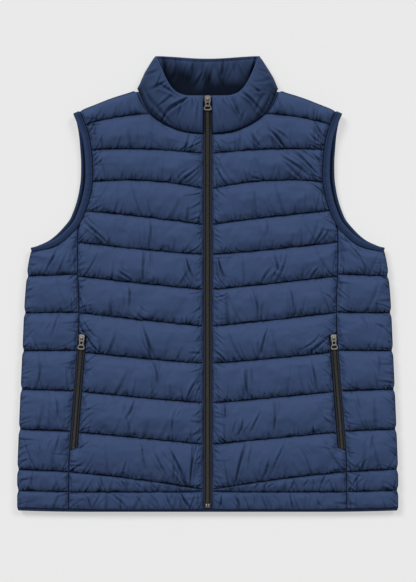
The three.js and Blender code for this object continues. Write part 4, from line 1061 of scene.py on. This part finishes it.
def armhole_binding(name, side):
    first, last = [int(share * (len(armhole) - 1)) for share in BINDING_SPAN]
    path = armhole[first:last + 1]
    out = armhole_out[first:last + 1]
    along = np.stack([out[:, 1], -out[:, 0]], axis=1)
    band, show = path[:, 2], path[:, 3]
    back_width = np.minimum(BINDING_BACK_WIDTH, band + 1)
    front_middle = path[:, :2] + out * (band / 2 - 0.1)[:, None]
    back_middle = path[:, :2] + out * (band + show - back_width / 2)[:, None]
    middle_z, turn = (BINDING_FRONT_Z + BINDING_BACK_Z) / 2, (BINDING_FRONT_Z - BINDING_BACK_Z) / 2
    a, b = binding_section()
    rings = []

    def ring(centre, out_xy, z, width, rise, forward):
        """One section; rise is its share of upward, forward its share along the path."""
        lift = b * BINDING_THICKNESS
        xy = centre[None, :] + out_xy[None, :] * (a * width / 2)[:, None] + forward[None, :] * lift[:, None]
        rings.append(np.column_stack([xy, z + rise * lift]))

    def turned_end(end, degrees, way):
        """Sections that carry the strip round one end of the path, from one edge to the other."""
        for angle in np.radians(degrees):
            t = angle / math.pi
            bulge = way * along[end] * turn * math.sin(angle)
            centre = front_middle[end] * (1 - t) + back_middle[end] * t + bulge
            width = (band[end] + BINDING_OVERLAP) * (1 - t) + back_width[end] * t
            rise, forward = math.cos(angle), way * along[end] * math.sin(angle)
            ring(centre, out[end], middle_z + turn * rise, width, rise, forward)

    for i in range(len(path)):
        ring(front_middle[i], out[i], BINDING_FRONT_Z, band[i] + BINDING_OVERLAP, 1, np.zeros(2))
    turned_end(-1, np.linspace(15, 165, TURN_RINGS), 1)
    for i in range(len(path) - 1, -1, -1):
        ring(back_middle[i], out[i], BINDING_BACK_Z, back_width[i], -1, np.zeros(2))
    turned_end(0, np.linspace(165, 15, TURN_RINGS), -1)
    rings = np.array(rings)
    count = len(rings)
    run = np.arange(count)[:, None] * 1.7
    ripple = 0.3 * soft_noise(run / 4.5, a[None, :] * 0.7, 31) + 0.2 * soft_noise(run / 15, a[None, :], 32)
    direction = np.where(np.arange(count)[:, None] < len(path), 1.0, -1.0)
    rings[..., 2] += ripple * (b[None, :] > 0) * direction
    rings[..., 0] *= side
    flat, faces, index = merged_grid(np.concatenate([rings, rings[:1]]), 0.02, wrap=True)
    piece = new_mesh(name, flat, faces)
    shade = 0.75 * np.exp(-(((a + 0.2) / 0.17) ** 2)) + 0.8 * np.clip((-a - 0.8) / 0.12, 0, 1)
    shade = shade + 0.25 * (a < -0.2)
    shade = np.clip(shade * (b > -0.1), 0, 1)[None, :] * np.ones((count, 1))
    under = np.clip(0.95 - 1.6 * np.clip(a - 0.05, 0, None), 0.2, 0.95)[None, :] * np.ones((count, 1))
    shade = np.where(direction > 0, shade, under)
    shade[len(path):len(path) + TURN_RINGS] = shade[-TURN_RINGS:] = TURN_SHADE
    mark(piece, "fold_shade", index[:-1, :-1], shade)
    put_back(opened(piece), piece)
    piece.data.shade_smooth()
    print(name, "faces", len(piece.data.polygons))
    return piece


bindings = {"armhole_binding_" + hand: armhole_binding("binding_" + hand, side) for hand, side in SIDES}

# %% [markdown]
# What repeats along a line
# Zip teeth and stitches are one small shape repeated along a path. A Geometry Nodes tree does it: the path
# becomes a curve, is resampled at the wanted spacing, and the shape is placed on every point, turned along
# the path.

# %% Repeat a shape along paths


def repeat_tree():
    """A tree that places one shape along a path, each copy a little larger or smaller."""
    tree = bpy.data.node_groups.new("repeat_along", "GeometryNodeTree")
    for name, kind in (
        ("Geometry", "Geometry"), ("Shape", "Object"), ("Spacing", "Float"), ("Unevenness", "Float"),
        ("Seed", "Int"), ("Finish", "Material"),
    ):
        tree.interface.new_socket(name, in_out="INPUT", socket_type="NodeSocket" + kind)
    tree.interface.new_socket("Geometry", in_out="OUTPUT", socket_type="NodeSocketGeometry")
    add = tree.nodes.new
    given, out = add("NodeGroupInput"), add("NodeGroupOutput")
    curve, resample = add("GeometryNodeMeshToCurve"), add("GeometryNodeResampleCurve")
    resample.mode = "LENGTH"
    tangent, turn = add("GeometryNodeInputTangent"), add("FunctionNodeAlignRotationToVector")
    turn.axis = "Y"
    shape, place = add("GeometryNodeObjectInfo"), add("GeometryNodeInstanceOnPoints")
    low, high, size = add("ShaderNodeMath"), add("ShaderNodeMath"), add("FunctionNodeRandomValue")
    low.operation, high.operation = "SUBTRACT", "ADD"
    low.inputs[0].default_value = high.inputs[0].default_value = 1
    real, finish = add("GeometryNodeRealizeInstances"), add("GeometryNodeSetMaterial")
    for source, output, target, entry in (
        (given, "Geometry", curve, "Mesh"), (curve, "Curve", resample, "Curve"),
        (given, "Spacing", resample, "Length"), (tangent, "Tangent", turn, "Vector"),
        (given, "Shape", shape, "Object"), (given, "Unevenness", low, 1), (given, "Unevenness", high, 1),
        (low, 0, size, 2), (high, 0, size, 3), (given, "Seed", size, "Seed"),
        (resample, "Curve", place, "Points"), (shape, "Geometry", place, "Instance"),
        (turn, "Rotation", place, "Rotation"), (size, 1, place, "Scale"),
        (place, "Instances", real, "Geometry"), (real, "Geometry", finish, "Geometry"),
        (given, "Finish", finish, "Material"), (finish, "Geometry", out, "Geometry"),
    ):
        tree.links.new(source.outputs[output], target.inputs[entry])
    return tree


REPEAT = repeat_tree()
SOCKETS = {item.name: item.identifier for item in REPEAT.interface.items_tree if item.in_out == "INPUT"}


def repeated(name, paths, shape, spacing, finish, unevenness, seed):
    """One mesh of a shape repeated along paths in millimetres."""
    points, edges = [], []
    for path in paths:
        first = len(points)
        points.extend(map(tuple, path))
        edges.extend((first + i, first + i + 1) for i in range(len(path) - 1))
    piece = new_mesh(name, points, [], edges)
    modifier = piece.modifiers.new("repeat", "NODES")
    modifier.node_group = REPEAT
    for socket, value in (
        ("Shape", shape), ("Spacing", spacing * MM), ("Unevenness", unevenness), ("Seed", seed),
        ("Finish", finish),
    ):
        modifier[SOCKETS[socket]] = value
    made = settled_mesh(piece)
    piece.modifiers.clear()
    piece.data = made
    made.shade_smooth()
    print(name, "faces", len(made.polygons))
    return piece


def bar(sections, sides=6):
    """A closed bar along Y, from sections of place, half width, half height and middle height."""
    ring = []
    for along, wide, tall, middle_z in sections:
        for i in range(sides):
            angle = 2 * math.pi * (i + 0.5) / sides
            ring.append((wide * math.cos(angle), along, middle_z + tall * math.sin(angle)))
    count = len(sections)
    faces = [
        (r * sides + i, (r + 1) * sides + i, (r + 1) * sides + (i + 1) % sides, r * sides + (i + 1) % sides)
        for r in range(count - 1) for i in range(sides)
    ]
    faces += [tuple(range(sides)), tuple(reversed(range((count - 1) * sides, count * sides)))]
    return np.array(ring), faces


# %% [markdown]
# Materials
# The shell is a fine matte nylon in navy. Its weave is far smaller than a picture point, so what the eye sees
# is the padding. Each piece of cloth carries a number at every point for how much shade lies on it, and that
# shade is painted into its colour, which deepens there.

# %% Materials
# Painted shade: the share of its own colour that the cloth keeps where the painted shade is full.
PAINTED_SHADE_TONE = 0.07


def material(name, colour, roughness, metallic=0.0):
    made = bpy.data.materials.new(name)
    made.use_nodes = True
    shader = made.node_tree.nodes["Principled BSDF"]
    shader.inputs["Base Color"].default_value = (*colour, 1)
    shader.inputs["Roughness"].default_value = roughness
    shader.inputs["Metallic"].default_value = metallic
    shader.inputs["Specular IOR Level"].default_value = 0.5 if metallic else 0.22
    return made


def cloth_material(name, colour, turned=None):
    """Fine cloth with painted shade that deepens its colour where fold_shade is high, with another colour for
    turned ends.
    """
    made = material(name, colour, 0.6)
    nodes, links = made.node_tree.nodes, made.node_tree.links
    shader = nodes["Principled BSDF"]
    shader.inputs["Specular IOR Level"].default_value = 0.12
    shader.inputs["Specular Tint"].default_value = (0.4, 0.6, 1, 1)
    layers = [("fold_shade", [PAINTED_SHADE_TONE * c for c in colour])]
    if turned:
        layers.append(("turned_end", turned))
    shown = None
    for attribute, other in layers:
        amount = nodes.new("ShaderNodeAttribute")
        amount.attribute_name = attribute
        mix = nodes.new("ShaderNodeMix")
        mix.data_type = "RGBA"
        mix.inputs["A"].default_value = (*colour, 1)
        mix.inputs["B"].default_value = (*other, 1)
        links.new(amount.outputs["Fac"], mix.inputs["Factor"])
        if shown is not None:
            links.new(shown, mix.inputs["A"])
        shown = mix.outputs["Result"]
    links.new(shown, shader.inputs["Base Color"])
    return made


def wear(piece, made):
    piece.data.materials.clear()
    piece.data.materials.append(made)


def dress(piece, finish, body, slot, *nodes):
    """Gives a piece its material and its body and hides the solids that it stands for. The slot is not used.
    """
    wear(piece, finish)
    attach(piece, body)
    if nodes:
        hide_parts(*nodes)


shell = cloth_material("shell", (0.041, 0.067, 0.148))
binding_cloth = cloth_material("binding", (0.024, 0.042, 0.100))
tape_cloth = cloth_material("tape", (0.026, 0.026, 0.029), (0.075, 0.045, 0.035))
coil_plastic = material("coil", (0.074, 0.072, 0.069), 0.35)
nickel = material("nickel", (0.40, 0.385, 0.36), 0.5, 1.0)
dark_nickel = material("dark_nickel", (0.12, 0.115, 0.11), 0.55, 1.0)
thread = material("thread", (0.008, 0.013, 0.032), 0.7)
for replaced, piece in panels.items():
    dress(piece, shell, "vest", "shell_fabric", replaced)
for replaced, piece in bindings.items():
    dress(piece, binding_cloth, "vest", "binding_fabric", replaced)
print("materials:", sorted(made.name for made in bpy.data.materials))

# %% [markdown]
# Zips
# Each zip is two woven tapes, two rows of moulded teeth that mesh, a cast slider and a pull. The main zip
# climbs with the collar, and the pocket zips lean out towards the hem. Each is made in its own frame, with Y
# along the zip, and is then put in place.

# %% Zips
TAPE_LEVEL = 14.2
COLLAR_RISE = 8.3 / COLLAR_HEIGHT
PIVOT_HEIGHT = 6.1
TAPE_SECTION = (0, 0.12, 0.3, 0.4, 0.5, 0.62, 0.8, 0.93, 1, 1, 0.93, 0.8, 0.62, 0.5, 0.4, 0.3, 0.12, 0)
TOOTH_PITCH = 1.35


def no_lift(y):
    return 0 * y


def collar_lift(y):
    return COLLAR_RISE * np.clip(y - NECK_FRONT, 0, None)


def main_place(points):
    return np.asarray(points) + np.array([0, 0, TAPE_LEVEL])


def pocket_place(side):
    def place(points):
        points = np.asarray(points, float)
        turn = side * POCKET_TURN
        x = points[..., 0] * math.cos(turn) - points[..., 1] * math.sin(turn) + side * POCKET_MIDDLE[0]
        y = points[..., 0] * math.sin(turn) + points[..., 1] * math.cos(turn) + POCKET_MIDDLE[1]
        return np.stack([x, y, points[..., 2] + TAPE_LEVEL], axis=-1)
    return place


def tape(name, hand, width, low, parts_at, top, lift, place):
    """One woven tape; it turns away from the middle above the slider."""
    rows = np.concatenate([np.arange(low, parts_at, 2.2), np.linspace(parts_at, top, 7)])
    inner = np.where(rows > parts_at + 0.2, 1.5, 0.15)
    across = np.array(TAPE_SECTION)
    upper = np.array([1] * 9 + [-1] * 9)
    x = inner[:, None] + (width / 2 - inner[:, None]) * across[None, :]
    edge = np.where((across == 1) | (across == 0), 0.6, 1)
    z = 0.45 * upper * edge + lift(rows)[:, None] * np.ones_like(x)
    z -= np.where(upper > 0, 0.25 * np.exp(-(((x - width * 0.22) / 0.5) ** 2)), 0)
    turned = np.clip((rows - parts_at) / max(top - parts_at, 1), 0, 1)[:, None]
    x = x + 0.5 * turned * (across[None, :] > 0.4)
    ring = place(np.stack([hand * x, rows[:, None] + 0 * x, z], axis=-1))
    flat, faces, index = merged_grid(ring if hand < 0 else ring[:, ::-1], 0.01, wrap=True)
    first, last = index[0, :-1].tolist(), index[-1, :-1].tolist()
    piece = new_mesh(name, flat, [*faces, first[::-1], last])
    shade = np.exp(-(((x - width * 0.21) / 0.8) ** 2)) * (upper > 0) + 0.3 * (across > 0.92)
    brown = np.clip((rows - top + 5) / 3, 0, 1)[:, None] * np.ones_like(x)
    order = index[:, :-1] if hand < 0 else index[:, :-1][:, ::-1]
    mark(piece, "fold_shade", order, np.clip(shade, 0, 1))
    mark(piece, "turned_end", order, brown)
    put_back(opened(piece), piece)
    return piece


def tooth_shape(hand, reach):
    """A moulded tooth: a bar across the tape with a wider head at the middle of the zip."""
    points, faces = bar((
        (-0.35, 0.30, 0.35, 1.7), (0.1, 0.42, 0.78, 1.72), (0.75, 0.34, 0.72, 1.72),
        (reach - 0.35, 0.36, 0.8, 1.68), (reach, 0.3, 0.5, 1.55),
    ))
    turned = np.stack([hand * points[:, 1], points[:, 0], points[:, 2]], axis=1)
    piece = new_mesh("tooth_" + str(hand), turned, faces)
    put_back(opened(piece), piece)
    return piece


def move_points(mesh, points):
    """Puts a mesh's points at new places in millimetres."""
    mesh.vertices.foreach_set("co", (points * MM).ravel())
    mesh.update()


def teeth(name, hand, chain, low, top, lift, place, seed):
    """One row of teeth along a zip, in the zip's frame, then put in place."""
    shape = tooth_shape(hand, chain / 2)
    rows = np.linspace(low + (TOOTH_PITCH / 2 if hand > 0 else 0), top, 80)
    path = np.stack([0 * rows, rows, lift(rows)], axis=1)
    piece = repeated(name, [path], shape, TOOTH_PITCH, coil_plastic, 0.03, seed)
    move_points(piece.data, place(coordinates(piece.data)))
    bpy.data.objects.remove(shape)
    return piece


# %% [markdown]
# Sliders and pulls
# A slider is cast, so none of its edges is sharp: its solid is copied and a Bevel modifier rounds it. A pull
# is flat with holes through it. A filled curve makes the holes by itself, and its own small bevel rounds
# every edge, so no shape has to be cut out of another.

# %% Sliders and pulls


def rounded_copy(name, node, width):
    """The same hard piece with its edges rounded."""
    piece = new_object(name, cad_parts[node].data.copy())
    modifier = piece.modifiers.new("round", "BEVEL")
    modifier.width = width * MM
    modifier.segments = 3
    modifier.limit_method = "ANGLE"
    modifier.angle_limit = math.radians(40)
    made = settled_mesh(piece)
    piece.modifiers.clear()
    piece.data = made
    made.shade_smooth()
    return piece


PULL_HALF = (
    (1.2, 2.2), (1.5, 3.2), (1.1, 4.1), (-0.4, 4.7), (-2.4, 4.8), (-4.4, 4.4), (-6.6, 3.85), (-9, 3.75),
    (-11.2, 4.4), (-12.9, 5.5), (-14.4, 6.2), (-15.9, 6.1), (-17.2, 4.9), (-17.9, 2.6),
)
PULL_LENGTH = 18
PULL_HALF_THICK = 0.35
PULL_ROUNDING = 0.3
PULL_TILT = math.radians(7.5)


def oval(x, y, wide, tall, count=28):
    angle = np.arange(count) / count * 2 * math.pi
    return [(x + wide * math.cos(a), y + tall * math.sin(a)) for a in angle]


def pull_outline(name, length, wide):
    """The flat outline of a pull: ears with a notch for the bridge, a slot, a round hole and an oval hole."""
    table = np.array(PULL_HALF) * np.array([1, wide])
    table[:, 0] *= np.where(table[:, 0] < -5, length / PULL_LENGTH, 1)
    right = refined(table, 4, 0)
    outline = [(x, y) for y, x in right] + [(-x, y) for y, x in right[::-1]]
    notch = [(-1.5, 1.25), (-1.5, 0.7), (1.5, 0.7), (1.5, 1.25)]
    slot = [(-1.5, -0.7), (-1.5, -3.9), (1.5, -3.9), (1.5, -0.7)]
    round_hole = oval(0, -7.6 * length / PULL_LENGTH, 2.0, 2.1)
    oval_hole = oval(0, -14.0 * length / PULL_LENGTH, 4.5 * wide, 2.3)
    curve = bpy.data.curves.new(name, "CURVE")
    curve.dimensions = "2D"
    curve.fill_mode = "BOTH"
    curve.extrude = PULL_HALF_THICK * MM
    curve.bevel_depth = PULL_ROUNDING * MM
    curve.bevel_resolution = 2
    curve.offset = -PULL_ROUNDING * MM
    for loop in (outline + notch, slot, round_hole, oval_hole):
        spline = curve.splines.new("POLY")
        spline.points.add(len(loop) - 1)
        for point, (x, y) in zip(spline.points, loop):
            point.co = (x * MM, y * MM, 0, 1)
        spline.use_cyclic_u = True
    return curve


def turned_by(y, z, angle):
    return y * math.cos(angle) - z * math.sin(angle), y * math.sin(angle) + z * math.cos(angle)


def pull(name, length, wide, slider_y, slider_z, slope, place):
    """A cast pull: two ears beside the slider's bridge, a waist with a hole, and a wide foot with another."""
    maker = new_object(name + "_curve", pull_outline(name, length, wide))
    made = settled_mesh(maker)
    bpy.data.objects.remove(maker)
    piece = new_object(name, made)
    mesh = opened(piece)
    bmesh.ops.remove_doubles(mesh, verts=mesh.verts, dist=0.002 * MM)
    put_back(mesh, piece)
    co = coordinates(made)
    y, z = turned_by(co[:, 1], co[:, 2], PULL_TILT)
    y, z = turned_by(y, z + PIVOT_HEIGHT, slope)
    move_points(made, place(np.stack([co[:, 0], y + slider_y, z + slider_z], axis=1)))
    made.shade_flat()
    return piece


# %% [markdown]
# The three zips
# One table for each kind of zip holds its sizes, so the same steps make all three. Each tape is half of the
# open width, and the teeth stop under the slider.

# %% The three zips
SLIDER_Y = 286.4
MAIN_ZIP = {
    "width": 2 * ZIP_HALF - 0.6, "chain": 5, "low": FRONT_HEM + 1, "teeth_low": FRONT_HEM + 11,
    "slider_y": SLIDER_Y, "slope": math.atan(COLLAR_RISE), "top": 291.6, "lift": collar_lift,
    "length": 18, "wide": 1.0, "seed": 3,
}
POCKET_ZIP = {
    "width": 11.2, "chain": 4.4, "low": -POCKET_LENGTH / 2, "teeth_low": -POCKET_LENGTH / 2 + 0.5,
    "slider_y": POCKET_LENGTH / 2 - 5.4, "slope": 0, "top": POCKET_LENGTH / 2, "lift": no_lift,
    "length": 18.6, "wide": 0.9, "seed": 5,
}


def whole_zip(prefix, pull_body, form, place):
    """Both tapes and rows of teeth, the slider and the pull of one zip."""
    width, low, top, slider_y, lift = [form[key] for key in ("width", "low", "top", "slider_y", "lift")]
    for hand_name, hand in SIDES:
        cloth = tape(f"{prefix}_cloth_{hand_name}", hand, width, low, slider_y + 1.6, top, lift, place)
        row = teeth(
            f"{prefix}_teeth_{hand_name}", hand, form["chain"], form["teeth_low"], slider_y + 1.2, lift,
            place, form["seed"],
        )
        dress(cloth, tape_cloth, "vest", "zip_tape", f"{prefix}_tape_{hand_name}")
        dress(row, coil_plastic, "vest", "zip_coil", f"{prefix}_coil_{hand_name}")
    slider = rounded_copy(prefix + "_slider_round", prefix + "_slider", 0.3)
    dress(slider, nickel, "vest", "zip_metal", prefix + "_slider")
    slider_z = float(lift(slider_y))
    tab = pull(
        prefix + "_pull_cast", form["length"], form["wide"], slider_y, slider_z, form["slope"], place,
    )
    dress(tab, nickel, pull_body, "zip_metal", prefix + "_pull")


whole_zip("main_zip", "main_pull", MAIN_ZIP, main_place)
for side_name, side in SIDES:
    whole_zip(f"pocket_zip_{side_name}", f"{side_name}_pocket_pull", POCKET_ZIP, pocket_place(side))

# %% [markdown]
# Bottom box
# The pin of an open-ended zip sits in a small box at the hem. It is a rounded metal block with two bright
# ribs that give the fingers a hold. The block is the solid with its edges rounded, and each rib is a short
# bar.

# %% Bottom box
STOP_TOP = TAPE_LEVEL + 3.95
STOP_Y = FRONT_HEM + 6.5
RIB_X = 1.8
RIB_SIDES = 8
stop = rounded_copy("main_zip_stop", "main_zip_box", 0.5)
dress(stop, dark_nickel, "vest", "zip_metal", "main_zip_box")
rib_points, rib_faces = bar((
    (-2.6, 0.5, 0.3, 0), (-2.2, 0.75, 0.6, 0), (2.2, 0.75, 0.6, 0), (2.6, 0.5, 0.3, 0),
), RIB_SIDES)
for rib_name, rib_side in SIDES:
    place = np.array([rib_side * RIB_X, STOP_Y, STOP_TOP])
    rib = new_mesh("main_zip_stop_rib_" + rib_name, rib_points + place, rib_faces)
    rib.data.shade_smooth()
    dress(rib, nickel, "vest", "zip_metal")
print("bottom box faces", len(stop.data.polygons), "and each rib", len(rib_faces))

# %% [markdown]
# Stitches
# Dark thread lies in every groove, three millimetres to a stitch, and a row runs beside the main zip. The
# same tree that sets the teeth repeats one short bar of thread along the sewn lines.

# %% Stitches
STITCH_SPACING = 3.1
THREAD_LIFT = 0.12
thread_points, thread_faces = bar((
    (-1.15, 0.08, 0.06, 0), (-0.8, 0.26, 0.2, 0.1), (0.8, 0.26, 0.2, 0.1), (1.15, 0.08, 0.06, 0),
), 5)
thread_shape = new_mesh("stitch_shape", thread_points, thread_faces)
lifted = [np.asarray(path) + np.array([0, 0, THREAD_LIFT]) for path in seam_paths]
stitches = repeated("stitches", lifted, thread_shape, STITCH_SPACING, thread, 0.08, 7)
bpy.data.objects.remove(thread_shape)
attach(stitches, "vest")

# %% [markdown]
# Floor and light
# Two wide suns stand beyond the neck, one to the left and a weaker one to the right, over a pale seamless
# surface. The surface lies a little below the vest and is clear from below, so that it doesn't hide the
# underside.

# %% Floor and light
FLOOR_REACH = 6000
FLOOR_DROP = 0.3
FLOOR_GLOW = 0.49
corners = [(x * FLOOR_REACH, y * FLOOR_REACH, -FLOOR_DROP) for x, y in ((-1, -1), (1, -1), (1, 1), (-1, 1))]
floor = new_mesh("floor", corners, [(0, 1, 2, 3)])
floor_finish = material("pale_surface", (0.34, 0.34, 0.34), 0.9)
floor_nodes, floor_links = floor_finish.node_tree.nodes, floor_finish.node_tree.links
floor_shader = floor_nodes["Principled BSDF"]
floor_shader.inputs["Emission Color"].default_value = (1, 1, 1, 1)
floor_shader.inputs["Emission Strength"].default_value = FLOOR_GLOW
seen_from = floor_nodes.new("ShaderNodeNewGeometry")
clear, either = floor_nodes.new("ShaderNodeBsdfTransparent"), floor_nodes.new("ShaderNodeMixShader")
floor_links.new(seen_from.outputs["Backfacing"], either.inputs["Fac"])
floor_links.new(floor_shader.outputs["BSDF"], either.inputs[1])
floor_links.new(clear.outputs["BSDF"], either.inputs[2])
floor_links.new(either.outputs["Shader"], floor_nodes["Material Output"].inputs["Surface"])
wear(floor, floor_finish)

KEY_HEIGHT = math.radians(45)
KEY_SPREAD = math.radians(24)
KEYS = (("key_left", 40, 2.0), ("key_right", -40, 1.2))
for name, degrees, energy in KEYS:
    sun_data = bpy.data.lights.new(name, "SUN")
    sun_data.energy = energy
    sun_data.angle = KEY_SPREAD
    sun = new_object(name, sun_data)
    aside = math.radians(degrees)
    level = math.cos(KEY_HEIGHT)
    towards = Vector((-math.sin(aside) * level, math.cos(aside) * level, math.sin(KEY_HEIGHT)))
    sun.rotation_euler = (-towards).to_track_quat("-Z", "Y").to_euler()
world = bpy.data.worlds.new("room")
world.use_nodes = True
surroundings = world.node_tree.nodes["Background"]
surroundings.inputs["Color"].default_value = (1, 1, 1, 1)
surroundings.inputs["Strength"].default_value = 0.24
scene.world = world
scene.view_settings.view_transform = "Standard"
